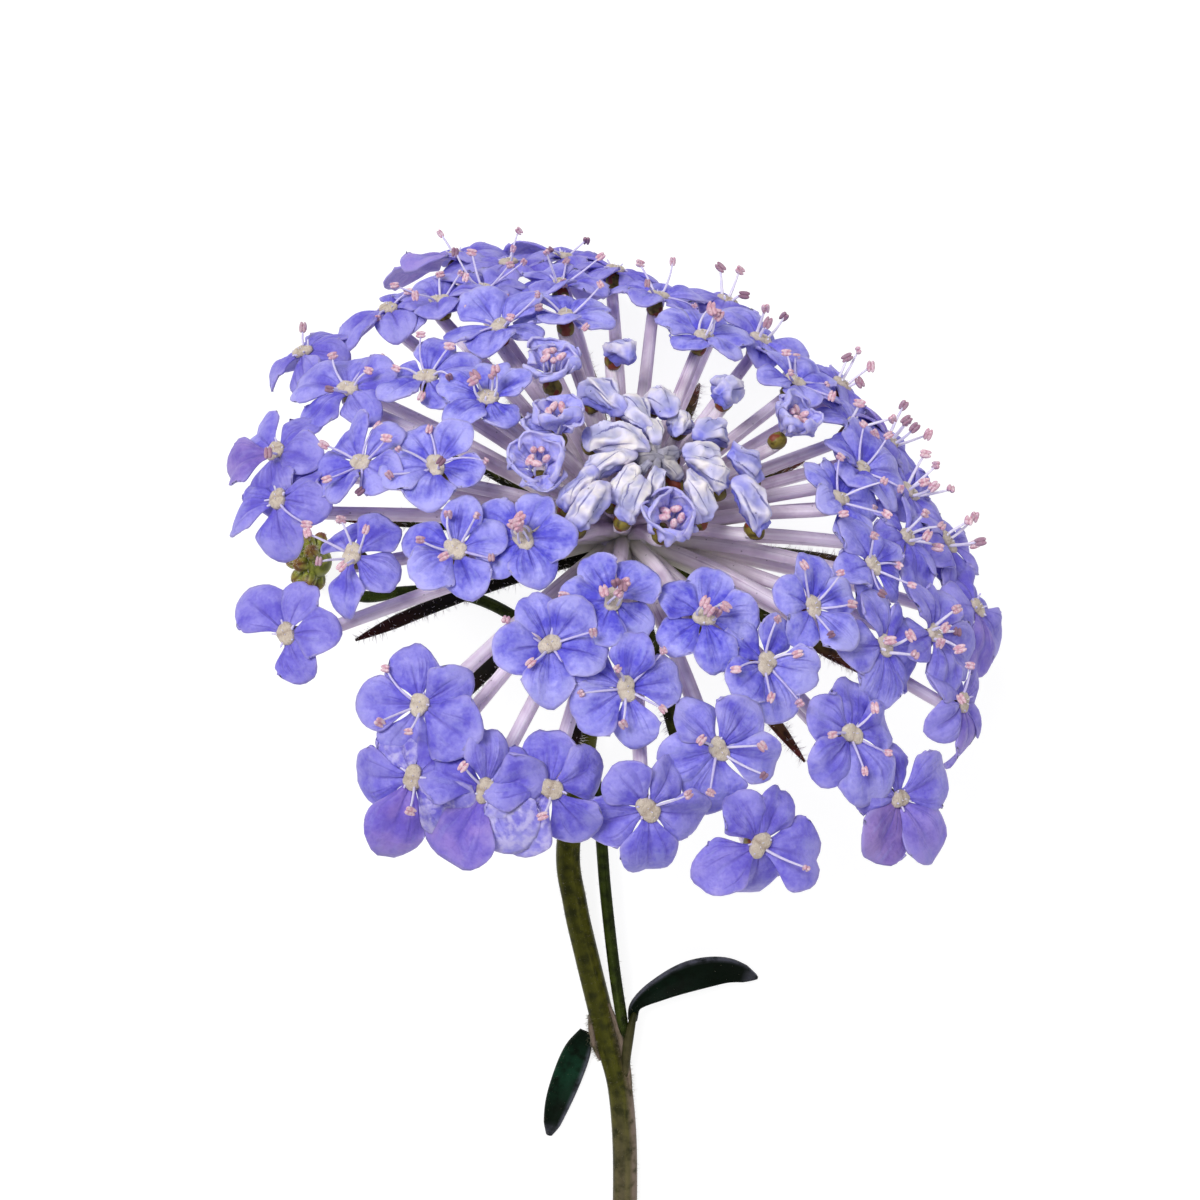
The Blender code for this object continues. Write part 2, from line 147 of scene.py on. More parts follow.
class Sketch:
    """The shells of one piece, with named numbers on their points, until it is an object."""

    def __init__(self) -> None:
        """Starts an empty sketch."""
        self.points: list[Array] = []
        self.faces: list[list[int]] = []
        self.marks: dict[str, list[tuple[int, Array]]] = {}
        self.count = 0

    def add(self, shell: Shell, **marks: float | Array) -> None:
        """Adds a shell, turned to face out.

        Args:
            shell: The closed surface to add.
            marks: A number, or one for each point, under the name that a finish reads.
        """
        quads = shell.quads
        triangles = shell.triangles
        split = np.concatenate([quads[:, :3], quads[:, [0, 2, 3]], triangles])
        corners = (shell.points - shell.points.mean(axis=0))[split]
        if np.linalg.det(corners).sum() < 0:
            quads = quads[:, ::-1]
            triangles = triangles[:, ::-1]
        self.faces += (quads + self.count).tolist()
        self.faces += (triangles + self.count).tolist()
        for name, value in marks.items():
            values = np.broadcast_to(np.asarray(value, float), len(shell.points))
            self.marks.setdefault(name, []).append((self.count, values))
        self.points.append(shell.points)
        self.count += len(shell.points)

    def piece(self, name: str, finish: "Finish", slot: str, node: str) -> None:
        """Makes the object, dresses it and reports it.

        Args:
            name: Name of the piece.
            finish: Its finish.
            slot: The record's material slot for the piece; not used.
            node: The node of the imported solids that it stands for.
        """
        mesh = bpy.data.meshes.new(name)
        mesh.from_pydata(np.concatenate(self.points).tolist(), [], self.faces)
        for mark, runs in self.marks.items():
            values = np.zeros(self.count)
            for start, run in runs:
                values[start : start + len(run)] = run
            layer = mesh.attributes.new(mark, "FLOAT", "POINT")
            layer.data.foreach_set("value", values)
        mesh.shade_smooth()
        mesh.update()
        piece = bpy.data.objects.new(name, mesh)
        bpy.context.scene.collection.objects.link(piece)
        mesh.materials.append(finish.material())
        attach(piece, "root")
        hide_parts(node)
        LOG.info("%s: %d faces", name, len(mesh.polygons))


def smooth_path(points: Sequence[Sequence[float]], steps: int) -> Array:
    """Points along a Catmull-Rom curve through the given ones.

    Args:
        points: The points that the curve passes through.
        steps: Points on each stretch between two of them.

    Returns:
        The curve's points.
    """
    given = np.array([tuple(point) for point in points], float)
    ends = np.concatenate([2 * given[:1] - given[1:2], given, 2 * given[-1:] - given[-2:-1]])
    path = []
    for before, start, end, after in zip(ends, ends[1:], ends[2:], ends[3:]):
        for t in np.arange(steps) / steps:
            path.append(0.5 * (
                2 * start
                + (end - before) * t
                + (2 * before - 5 * start + 4 * end - after) * t**2
                + (3 * start - before - 3 * end + after) * t**3
            ))
    path.append(given[-1])
    return np.array(path)


def capped(points: Array, along: Array, angles: Array) -> tuple[Shell, Array, Array]:
    """Rings of points, closed by a fan at each end.

    Args:
        points: The points, ring by ring, and then the two end points.
        along: Place of each ring between the ends, from 0 to 1.
        angles: Angle of each point of a ring.

    Returns:
        The shell, and for each of its points the place and the angle.
    """
    rows, columns = len(along), len(angles)
    turn = np.arange(columns)
    after = (turn + 1) % columns
    pole = np.full(columns, rows * columns)
    last = (rows - 1) * columns
    low = np.stack([pole, after, turn], axis=1)
    high = np.stack([pole + 1, last + turn, last + after], axis=1)
    quads = grid_quads(rows, columns, closed=True)
    places = np.append(np.repeat(along, columns), [0, 1])
    shell = Shell(points, quads, np.concatenate([low, high]))
    return shell, places, np.append(np.tile(angles, rows), [0, 0])


def tube(path: Array, radii: Array, sides: int, squash: float = 1.0, ribs: int = 0,
         rib_height: float = 0.0, side: Vector | None = None) -> tuple[Shell, Array, Array]:
    """A closed tube along a path.

    Args:
        path: Its middle line.
        radii: Its radius at each point.
        sides: Points round it.
        squash: Its thickness as a share of its width.
        ribs: Number of ribs along it.
        rib_height: Their height as a share of the radius.
        side: A direction across the tube in which it is widest.

    Returns:
        The shell, and for each of its points the place along the tube from 0 to 1 and the
        angle round it.
    """
    across = np.array(side or ODD_DIRECTION, float)
    angles = np.arange(sides) * FULL_TURN / sides
    swell = 1 + rib_height * np.cos(ribs * angles)
    rings = []
    for place, tangent, radius in zip(path, unit(np.gradient(path, axis=0)), radii):
        across = unit(across - tangent * across.dot(tangent))
        ring = np.outer(np.cos(angles) * swell, across)
        ring += np.outer(np.sin(angles) * swell * squash, np.cross(tangent, across))
        rings.append(place + ring * radius)
    points = np.concatenate([*rings, path[:1], path[-1:]])
    return capped(points, np.linspace(0, 1, len(path)), angles)


def ball(columns: int, rows: int) -> tuple[Shell, Array, Array]:
    """A unit ball with its poles on the X axis.

    Args:
        columns: Points round the X axis.
        rows: Rings between the poles.

    Returns:
        The shell, and for each point the place from 0 at -X to 1 at +X and the angle round X.
    """
    steps = (np.arange(rows) + 1) / (rows + 1)
    angles = np.arange(columns) * FULL_TURN / columns
    tilt = np.repeat(steps * math.pi, columns)
    around = np.tile(angles, rows)
    ring = np.sin(tilt)
    points = np.stack([-np.cos(tilt), ring * np.cos(around), ring * np.sin(around)], axis=1)
    return capped(np.concatenate([points, [[-1, 0, 0], [1, 0, 0]]]), steps, angles)


def thick_sheet(top: Array, thickness: float) -> Shell:
    """A thin closed blade under a grid of points.

    Args:
        top: The upper surface, as rows of points.
        thickness: How far the lower surface lies under it.

    Returns:
        The shell, whose first half of points is the upper surface.
    """
    rows, columns, _ = top.shape
    inwards = unit(np.cross(np.gradient(top, axis=1), np.gradient(top, axis=0)))
    under = top + inwards * thickness
    count = rows * columns
    upper = grid_quads(rows, columns)
    index = np.arange(count).reshape(rows, columns)
    border = np.concatenate([
        index[0, :-1], index[:-1, -1], index[-1, :0:-1], index[:0:-1, 0],
    ])
    after = np.roll(border, -1)
    rim = np.stack([after, border, border + count, after + count], axis=1)
    points = np.concatenate([top.reshape(-1, 3), under.reshape(-1, 3)])
    return Shell(points, np.concatenate([upper, upper[:, ::-1] + count, rim]))


def hairs(roots: Array, tips: Array, radius: float, sag: Array) -> Shell:
    """Three-sided bent hairs.

    Args:
        roots: Where each stands.
        tips: Where each ends.
        radius: Radius at the root.
        sag: How far the middle of each is bent aside.

    Returns:
        One shell with all of them, seven points each.
    """
    along = tips - roots
    side = unit(np.cross(along, HAIR_DIRECTION))
    over = unit(np.cross(along, side))
    corners = []
    for place, share in ((roots, 1.0), (roots + along * 0.55 + sag, 0.7)):
        for angle in (0, FULL_TURN / 3, 2 * FULL_TURN / 3):
            out = side * math.cos(angle) + over * math.sin(angle)
            corners.append(place + out * radius * share)
    points = np.stack([*corners, tips], axis=1)
    start = (np.arange(len(roots)) * points.shape[1])[:, None, None]
    quads = np.array([[0, 1, 4, 3], [1, 2, 5, 4], [2, 0, 3, 5]])[None] + start
    triangles = np.array([[3, 4, 6], [4, 5, 6], [5, 3, 6], [2, 1, 0]])[None] + start
    return Shell(points.reshape(-1, 3), quads.reshape(-1, 4), triangles.reshape(-1, 3))


def kept_above(points: Array, level: float) -> Array:
    """Points with none lower than a level.

    Args:
        points: The points.
        level: Lowest height that one may have.

    Returns:
        A copy with the low ones raised.
    """
    raised = points.copy()
    raised[..., 2] = np.maximum(raised[..., 2], level)
    return raised


# Shader expressions


class Wire:
    """A socket that adds its Math nodes when it is used in an expression."""

    def __init__(self, wires: "Wires", socket: bpy.types.NodeSocket) -> None:
        """Wraps an output socket of a tree."""
        self.wires = wires
        self.socket = socket

    def math(self, operation: str, *values: "Wire | float") -> "Wire":
        """The result of a Math node.

        Args:
            operation: The node's operation.
            values: Its inputs, in order.

        Returns:
            The node's output.
        """
        return self.wires.wire(
            "ShaderNodeMath", {"operation": operation}, dict(enumerate(values)),
        )

    def __add__(self, other: "Wire | float") -> "Wire":
        """Sum."""
        return self.math("ADD", self, other)

    __radd__ = __add__

    def __mul__(self, other: "Wire | float") -> "Wire":
        """Product."""
        return self.math("MULTIPLY", self, other)

    __rmul__ = __mul__

    def __sub__(self, other: "Wire | float") -> "Wire":
        """Difference."""
        return self.math("SUBTRACT", self, other)

    def __rsub__(self, other: float) -> "Wire":
        """Difference from a number."""
        return self.math("SUBTRACT", other, self)

    def __abs__(self) -> "Wire":
        """Size without its sign."""
        return self.math("ABSOLUTE", self)

    def ease(self, low: float, high: float) -> "Wire":
        """A smooth rise.

        Args:
            low: The value at which it is 0.
            high: The value at which it is 1.

        Returns:
            The eased value.
        """
        values = {"Value": self, "From Min": low, "From Max": high}
        settings = {"interpolation_type": "SMOOTHSTEP"}
        return self.wires.wire("ShaderNodeMapRange", settings, values)


class Wires:
    """The node tree of one material."""

    def __init__(self, material: bpy.types.Material) -> None:
        """Takes a material's tree and empties it.

        Args:
            material: The material.
        """
        material.use_nodes = True
        self.tree = material.node_tree
        self.tree.nodes.clear()

    def node(self, kind: str, settings: Mapping[str, object],
             values: Mapping[str | int, object]) -> bpy.types.Node:
        """Adds a node.

        Args:
            kind: The node's type.
            settings: Its settings, which are set first.
            values: Numbers, colours or wires for its sockets.

        Returns:
            The new node.
        """
        node = self.tree.nodes.new(kind)
        for name, setting in settings.items():
            setattr(node, name, setting)
        for key, value in values.items():
            if isinstance(value, Wire):
                self.tree.links.new(value.socket, node.inputs[key])
            else:
                node.inputs[key].default_value = value
        return node

    def wire(self, kind: str, settings: Mapping[str, object],
             values: Mapping[str | int, object], output: int | str = 0) -> Wire:
        """Adds a node and takes one of its outputs.

        Args:
            kind: The node's type.
            settings: Its settings.
            values: Numbers, colours or wires for its sockets.
            output: Number or name of the output.

        Returns:
            The output.
        """
        return Wire(self, self.node(kind, settings, values).outputs[output])

    def mark(self, name: str) -> Wire:
        """The named number that a sketch put on the points."""
        return self.wire("ShaderNodeAttribute", {"attribute_name": name}, {}, "Fac")

    def place(self) -> Wire:
        """The point's place in the part's frame."""
        return self.wire("ShaderNodeTexCoord", {}, {}, "Object")

    def noise(self, vector: Wire, scale: float, detail: float) -> Wire:
        """Soft noise from 0 to 1.

        Args:
            vector: Where it is read.
            scale: How many of its patches fit in a unit of the vector.
            detail: How much finer noise lies on it.

        Returns:
            The noise.
        """
        values = {"Vector": vector, "Scale": scale, "Detail": detail}
        return self.wire("ShaderNodeTexNoise", {"noise_dimensions": "3D"}, values, "Fac")

    def cloud(self, size: float, detail: float = 2.0) -> Wire:
        """Noise in patches of a size."""
        return self.noise(self.place(), 1 / size, detail)

    def streaks(self, x: Wire | float, y: Wire | float, z: Wire | float) -> Wire:
        """Noise over three values, which is drawn out where one of them changes slowly."""
        return self.noise(self.wire("ShaderNodeCombineXYZ", {}, {0: x, 1: y, 2: z}), 1.0, 3.0)

    def grains(self, size: float) -> Wire:
        """Distance from the nearest of points scattered a size apart, about 0 to 1."""
        values = {"Vector": self.place(), "Scale": 1 / size}
        return self.wire("ShaderNodeTexVoronoi", {"feature": "F1"}, values, "Distance")

    def specks(self, size: float, low: float, high: float) -> Wire:
        """Small dots scattered a size apart, full within a low distance and gone past a high."""
        return 1 - self.grains(size).ease(low, high)

    def mix(self, factor: Wire, low: "Wire | Colour", high: "Wire | Colour") -> Wire:
        """A colour between two others.

        Args:
            factor: 0 for the first and 1 for the second.
            low: The first colour.
            high: The second colour.

        Returns:
            The mixed colour.
        """
        settings = {"data_type": "RGBA", "clamp_factor": True}
        return self.wire("ShaderNodeMix", settings, {0: factor, 6: low, 7: high}, 2)

    def bump(self, height: Wire, depth: float) -> Wire:
        """A normal from a height, with the depth that a height of 1 has."""
        values = {"Height": height, "Distance": depth, "Strength": 1.0}
        return self.wire("ShaderNodeBump", {}, values)

    def shade(self, values: Mapping[str | int, object]) -> None:
        """Adds the shader, with its values, and the material's output."""
        surface = self.wire("ShaderNodeBsdfPrincipled", {}, values)
        self.node("ShaderNodeOutputMaterial", {}, {"Surface": surface})


@dataclass(frozen=True)
class Finish:
    """What the finishes share. Each one paints its own colour and relief."""

    name: str
    roughness: float = 0.5
    level: float = 0.35
    glow: float = 0.0
    glow_depth: float = 0.4 * MM
    glow_tint: Place = (1.0, 0.9, 1.0)
    depth: float = 0.05 * MM

    def paint(self, wires: Wires) -> tuple[Wire, Wire]:
        """The colour, and the height that the relief's depth multiplies."""
        raise NotImplementedError

    def material(self) -> bpy.types.Material:
        """Makes the finish's material on first use.

        Returns:
            The material.
        """
        material = bpy.data.materials.get(self.name)
        if not material:
            material = bpy.data.materials.new(self.name)
            wires = Wires(material)
            colour, height = self.paint(wires)
            wires.shade({
                "Base Color": colour,
                "Normal": wires.bump(height, self.depth),
                "Roughness": self.roughness,
                "Specular IOR Level": self.level,
                "Subsurface Weight": self.glow,
                "Subsurface Radius": self.glow_tint,
                "Subsurface Scale": self.glow_depth,
            })
        return material


@dataclass(frozen=True)
class PetalFinish(Finish):
    """Petals: lilac-blue with darker veins, a paler rim, a purple blush and painted crease shade.
    """

    depth: float = 0.055 * MM
    drift: float = 1.5 * MM
    crinkle: float = 0.6 * MM
    fine: float = 0.26 * MM
    light: Colour = tone(172, 170, 244)
    deep: Colour = tone(86, 82, 210)
    vein_and_crease_shade: Colour = tone(66, 54, 168)
    outer: Colour = tone(116, 98, 184)
    rim: Colour = tone(176, 170, 226)
    web: Colour = tone(158, 166, 226)
    blush: tuple[Colour, Colour] = (tone(116, 84, 184), tone(168, 140, 220))
    mauve: tuple[Colour, Colour] = (tone(112, 78, 146), tone(172, 142, 190))
    faded: Colour = tone(216, 208, 238)

    def paint(self, wires: Wires) -> tuple[Wire, Wire]:
        """Veins run from the base, spread with the blade and fade towards its rim.

        Args:
            wires: The material's tree.

        Returns:
            The colour and the height.
        """
        u = wires.mark("u")
        v = wires.mark("v")
        shade = wires.mark("shade")
        dent = wires.mark("dent")
        blush = wires.mark("blush")
        drift = wires.cloud(self.drift)
        crinkle = wires.cloud(self.crinkle)
        fine = wires.cloud(self.fine, 3.0)
        veins = wires.streaks(u * 6.5, v * 0.8, shade * 40).ease(0.52, 0.70)
        veins = veins * (1 - v.ease(0.5, 1.0))
        # Painted shade: the midrib crease near the base is darkened where the relief also sinks.
        crease = (1 - abs(u).ease(0.0, 0.12)) * (1 - v.ease(0.3, 0.8))
        tint = drift.ease(0.34, 0.66) * 0.50 + shade * 0.36 + v.ease(0.1, 0.9) * 0.44
        # Subtracting the dent darkens its valley: painted shade.
        tint = tint + (fine - 0.5) * 0.85 - dent * 0.45 + (crinkle - 0.5) * 0.75 - 0.09
        base = wires.mix(tint, self.deep, self.light)
        purple = blush.ease(0.0, 1.0) * (0.45 + 0.5 * drift.ease(0.25, 0.7))
        base = wires.mix(purple, base, wires.mix(tint, *self.blush))
        base = wires.mix(blush.ease(1.0, 2.2) * 0.9, base, wires.mix(tint, *self.mauve))
        base = wires.mix(veins * 0.42, base, self.vein_and_crease_shade)
        # Painted shade: the crease and the dent valleys take the vein colour.
        base = wires.mix(crease * 0.55 + dent * 0.25, base, self.vein_and_crease_shade)
        web = wires.streaks(u * 5.0, v * 2.6, shade * 70).ease(0.52, 0.74)
        base = wires.mix(web * v.ease(0.1, 0.6) * 0.34, base, self.web)
        edge = v.ease(0.72, 1.0) + abs(u).ease(0.62, 1.0) * v.ease(0.15, 0.5)
        thin = v.ease(0.93, 1.0) + abs(u).ease(0.88, 1.0) * v.ease(0.2, 0.5)
        base = wires.mix(edge * 0.3 * drift.ease(0.3, 0.6) + thin * 0.4, base, self.rim)
        base = wires.mix(wires.mark("outer") * 0.44, base, self.outer)
        pale = wires.mark("faded") * wires.cloud(self.crinkle, 4.0).ease(0.42, 0.66) * 0.48
        base = wires.mix(pale, base, self.faded)
        return base, 1 - veins * 0.6 - crease + fine * 0.9 + crinkle * 1.8


@dataclass(frozen=True)
class DiscFinish(Finish):
    """The cushion in the middle of a floret: granular cream, with painted shade in its groove."""

    cream: Colour = tone(216, 204, 190)
    tan: Colour = tone(166, 148, 134)

    def paint(self, wires: Wires) -> tuple[Wire, Wire]:
        """Grains stand a little paler than what is between them.

        Args:
            wires: The material's tree.

        Returns:
            The colour and the height.
        """
        grains = wires.grains(0.09 * MM)
        mottle = wires.cloud(0.25 * MM, 3.0)
        # The groove turns tan as painted shade; the rim florets' discs are tan with age of their
        # own.
        shade = wires.mark("groove") * 0.4 + wires.mark("age") * 0.3
        base = wires.mix(mottle.ease(0.35, 0.7) * 0.35 + shade, self.cream, self.tan)
        return base, 1 - grains + mottle


@dataclass(frozen=True)
class FilamentFinish(Finish):
    """Filaments and styles: white, with lilac patches."""

    depth: float = 0.01 * MM
    white: Colour = tone(230, 224, 243)
    lilac: Colour = tone(170, 158, 226)

    def paint(self, wires: Wires) -> tuple[Wire, Wire]:
        """A filament that lies over the petals is painted more lilac, as their light showing
        through it.

        Args:
            wires: The material's tree.

        Returns:
            The colour and the height.
        """
        cloud = wires.cloud(0.3 * MM)
        # Painted light: lying filaments take the petals' lilac, as if lit through by them.
        lilac = cloud.ease(0.3, 0.8) * 0.3 + wires.mark("lying") * 0.6
        base = wires.mix(lilac, self.white, self.lilac)
        return base, cloud


@dataclass(frozen=True)
class AntherFinish(Finish):
    """Anthers: pink, mauve-brown once they have shed."""

    depth: float = 0.02 * MM
    pink: Colour = tone(234, 206, 214)
    rose: Colour = tone(212, 156, 176)
    mauve: Colour = tone(136, 100, 122)

    def paint(self, wires: Wires) -> tuple[Wire, Wire]:
        """Pollen grains make it rough.

        Args:
            wires: The material's tree.

        Returns:
            The colour and the height.
        """
        grains = wires.grains(0.05 * MM)
        cloud = wires.cloud(0.2 * MM, 3.0)
        base = wires.mix(cloud.ease(0.40, 0.62), self.pink, self.rose)
        base = wires.mix(wires.mark("fresh") * 0.3, base, self.rose)
        base = wires.mix(wires.mark("shed"), base, self.mauve)
        return base, 1 - grains


@dataclass(frozen=True)
class BudFinish(Finish):
    """Closed buds: cream and lilac, blue at the ends, grey when tiny, with painted shade."""

    depth: float = 0.06 * MM
    cream: Colour = tone(240, 232, 230)
    pale: Colour = tone(212, 208, 238)
    blue: Colour = tone(126, 126, 222)
    line: Colour = tone(84, 82, 150)
    shadow: Colour = tone(150, 152, 190)
    young_grey_and_pit_shade: Colour = tone(120, 116, 120)
    speck: Colour = tone(30, 26, 60)

    def paint(self, wires: Wires) -> tuple[Wire, Wire]:
        """Painted shade draws a fine dark line on the petal edges; the blue deepens towards the
        ends.

        Args:
            wires: The material's tree.

        Returns:
            The colour and the height.
        """
        depth = wires.mark("depth")
        age = wires.mark("age")
        cloud = wires.cloud(1.6 * MM)
        thin = wires.cloud(0.5 * MM, 3.0)
        base = wires.mix(cloud.ease(0.38, 0.62), self.cream, self.pale)
        # Painted shade: the hollows between the ridges and the notch take the shadow colour.
        base = wires.mix(depth * 0.7, base, self.shadow)
        # Blue at both ends is the buds' own; blue on the undersides and in older hollows is
        # painted shade.
        blueness = wires.mark("ends") * 0.72 + age * 0.5 + (thin - 0.5) * 0.5
        base = wires.mix(blueness + depth * age * 0.5, base, self.blue)
        # Painted shade: a fine dark line where one petal's edge lies over the next.
        edge = wires.mark("crease").ease(0.88, 0.99)
        base = wires.mix(edge * (0.40 + thin * 0.9), base, self.line)
        base = wires.mix(wires.specks(1.2 * MM, 0.045, 0.065) * 0.8, base, self.speck)
        # The tiny middle buds turn grey, partly their own colour and partly painted shade in the
        # pit.
        base = wires.mix(wires.mark("young") * 0.75, base, self.young_grey_and_pit_shade)
        return base, thin


@dataclass(frozen=True)
class PedicelFinish(Finish):
    """Pedicels and receptacle: lilac-grey with fine lengthwise lines, greener at the root."""

    lilac: Colour = tone(229, 212, 228)
    light: Colour = tone(248, 238, 247)
    dark: Colour = tone(182, 158, 184)
    green: Colour = tone(226, 224, 206)
    speck: Colour = tone(60, 40, 60)

    def paint(self, wires: Wires) -> tuple[Wire, Wire]:
        """Lines follow the angle round the stalk.

        Args:
            wires: The material's tree.

        Returns:
            The colour and the height.
        """
        along = wires.mark("along")
        kind = wires.mark("kind")
        lines = wires.streaks(wires.mark("turn") * 2.6, along * 1.2, kind * 30)
        base = wires.mix(lines.ease(0.35, 0.65), self.lilac, self.light)
        shade = wires.cloud(2.2 * MM, 3.0).ease(0.45, 0.7) * 0.5 + kind * 0.25
        base = wires.mix(lines.ease(0.6, 0.7) * 0.6 + shade, base, self.dark)
        base = wires.mix(1 - along.ease(0.0, 0.35), base, self.green)
        base = wires.mix(wires.specks(0.9 * MM, 0.06, 0.1) * 0.5, base, self.speck)
        return base, lines


@dataclass(frozen=True)
class OvaryFinish(Finish):
    """Ovaries: olive with red-brown patches."""

    depth: float = 0.06 * MM
    olive: Colour = tone(128, 114, 44)
    brown: Colour = tone(126, 58, 38)
    dark: Colour = tone(70, 58, 16)

    def paint(self, wires: Wires) -> tuple[Wire, Wire]:
        """The brown patches are larger than the mottle of the olive.

        Args:
            wires: The material's tree.

        Returns:
            The colour and the height.
        """
        cloud = wires.cloud(0.5 * MM, 3.0)
        base = wires.mix(cloud.ease(0.3, 0.6), self.dark, self.olive)
        base = wires.mix(wires.cloud(0.8 * MM, 1.0).ease(0.52, 0.62), base, self.brown)
        return base, cloud


@dataclass(frozen=True)
class GreenFinish(Finish):
    """Stems, bracts and leaves: a green with a darker band and lengthwise grain."""

    level: float = 0.10
    green: Colour = tone(74, 74, 14)
    dark: Colour = tone(36, 38, 8)
    light: Colour = tone(102, 100, 36)
    bloom: Colour = tone(124, 108, 96)
    grain: float = 2.2

    def paint(self, wires: Wires) -> tuple[Wire, Wire]:
        """The mark 'band' darkens, 'pale' lightens and 'down' greys the surface.

        Args:
            wires: The material's tree.

        Returns:
            The colour and the height.
        """
        lines = wires.streaks(wires.mark("turn") * self.grain, wires.mark("along") * 3.0, 0.0)
        patches = wires.cloud(0.9 * MM, 3.0)
        base = wires.mix(patches.ease(0.28, 0.66), self.dark, self.green)
        base = wires.mix(lines.ease(0.5, 0.72) * 0.35, base, self.light)
        base = wires.mix(wires.mark("band") * 0.75, base, self.dark)
        base = wires.mix(wires.mark("pale"), base, self.light)
        base = wires.mix(wires.mark("down") * patches.ease(0.2, 0.6), base, self.bloom)
        return base, lines + wires.cloud(0.2 * MM) * 0.6


@dataclass(frozen=True)
class HairFinish(Finish):
    """Fine hairs, grey-white unless they are given other colours."""

    depth: float = 0.005 * MM
    near: Colour = tone(196, 186, 186)
    far: Colour = tone(232, 224, 226)

    def paint(self, wires: Wires) -> tuple[Wire, Wire]:
        """Hairs differ a little from each other."""
        cloud = wires.cloud(0.6 * MM)
        return wires.mix(cloud.ease(0.3, 0.7), self.near, self.far), cloud


@dataclass(frozen=True)
class YoungFinish(Finish):
    """Young buds: yellow-green with red-brown tips."""

    depth: float = 0.06 * MM
    green: Colour = tone(104, 112, 34)
    bright: Colour = tone(166, 172, 74)
    brown: Colour = tone(112, 46, 32)
    dark: Colour = tone(48, 50, 16)

    def paint(self, wires: Wires) -> tuple[Wire, Wire]:
        """The tips redden, and the folds between the young petals are darkened as painted shade.

        Args:
            wires: The material's tree.

        Returns:
            The colour and the height.
        """
        cloud = wires.cloud(0.6 * MM, 3.0)
        base = wires.mix(cloud.ease(0.35, 0.65), self.green, self.bright)
        # Painted shade: the folds, and much of the hub under the buds, take the dark colour.
        base = wires.mix(wires.mark("fold") * 0.8, base, self.dark)
        base = wires.mix(wires.mark("tip"), base, self.brown)
        return base, cloud


PETALS = PetalFinish("petal_blue", roughness=0.52, glow=0.25, glow_depth=0.5 * MM)
DISCS = DiscFinish("disc_cream", roughness=0.6, glow=0.2)
FILAMENTS = FilamentFinish("filament_white", roughness=0.35, glow=0.3)
ANTHERS = AntherFinish("anther_pink", roughness=0.7, glow=0.2)
BUDS = BudFinish("bud_cream_blue", roughness=0.5, glow=0.3, glow_depth=0.6 * MM)
STALKS = PedicelFinish("pedicel_lilac", roughness=0.42, glow=0.4, glow_depth=0.7 * MM)
OVARIES = OvaryFinish("ovary_olive", roughness=0.45)
BRACT_GREEN = GreenFinish(
    "bract_green", green=tone(76, 84, 28), dark=tone(16, 14, 8), bloom=tone(104, 44, 40),
)
STEM_GREEN = GreenFinish("stem_green")
SIDE_GREEN = GreenFinish(
    "side_stem_green", green=tone(50, 62, 12), dark=tone(20, 28, 4), light=tone(72, 84, 26),
)
LEAF_GREEN = GreenFinish(
    "leaf_green", roughness=0.6, level=0.06, green=tone(16, 48, 32), dark=tone(5, 13, 5),
    light=tone(22, 44, 30), bloom=tone(92, 92, 104), grain=1.0,
)
HAIRS = HairFinish("hair_grey", roughness=0.5, glow=0.2)
STEM_HAIRS = HairFinish("hair_olive", near=tone(112, 106, 82), far=tone(156, 148, 128))
YOUNG = YoungFinish("young_bud_green", roughness=0.45)


# The head's layout


class Ring(Enum):
    """The rings of open florets."""

    RIM = "rim"
    MIDDLE = "middle"
    INNER = "inner"


@dataclass(frozen=True)
class Dome:
    """The surface that the florets stand on, in its place."""

    base: Place = (-0.5 * MM, 32.7 * MM, 20.8 * MM)
    elevation: float = math.radians(53)
    turn: float = math.radians(24)
    rim_reach: float = 27 * MM
    rim_height: float = 1.0 * MM
    crown_height: float = 10.0 * MM
    face_spread: float = 1.2
    collar_sides: int = 40
    collar_ribs: int = 13

    def matrix(self) -> Matrix:
        """From the head's own frame to the part's."""
        tilt = Matrix.Rotation(self.elevation - math.pi / 2, 4, "X")
        return Matrix.Translation(self.base) @ spun(-self.turn) @ tilt

    def height(self, reach: float) -> float:
        """Height of the dome over the base at a distance from the axis."""
        fall = self.crown_height - self.rim_height
        return self.crown_height - fall * (reach / self.rim_reach) ** 2

    def spot(self, azimuth: float, reach: float, spin: float = 0.0, lean: float = 0.0) -> Matrix:
        """A floret's frame in the part's.

        Args:
            azimuth: Angle round the axis in degrees.
            reach: Distance from the axis in mm.
            spin: Turn about the floret's own axis.
            lean: How much further out than the dome it faces.

        Returns:
            The frame: +Z faces out of the dome and +X away from the axis.
        """
        out = reach * MM
        slope = 2 * (self.crown_height - self.rim_height) * out / self.rim_reach**2
        facing = math.atan(self.face_spread * slope) + lean
        foot = spun(math.radians(azimuth)) @ Matrix.Translation((out, 0, self.height(out)))
        return self.matrix() @ foot @ (Matrix.Rotation(facing, 4, "Y") @ spun(spin))

    def collar(self, profile: Sequence[Span], rib_height: float) -> tuple[Shell, Array, Array]:
        """A ribbed shape turned round the head's axis.

        Args:
            profile: Height and radius of each of its rings, in mm.
            rib_height: Height of its ribs as a share of the radius.

        Returns:
            The shell, and for each of its points the place along it and the angle round it.
        """
        heights, radii = np.array(profile).T * MM
        line = placed(np.stack([0 * heights, 0 * heights, heights], axis=1), self.matrix())
        return tube(line, radii, self.collar_sides, ribs=self.collar_ribs, rib_height=rib_height)


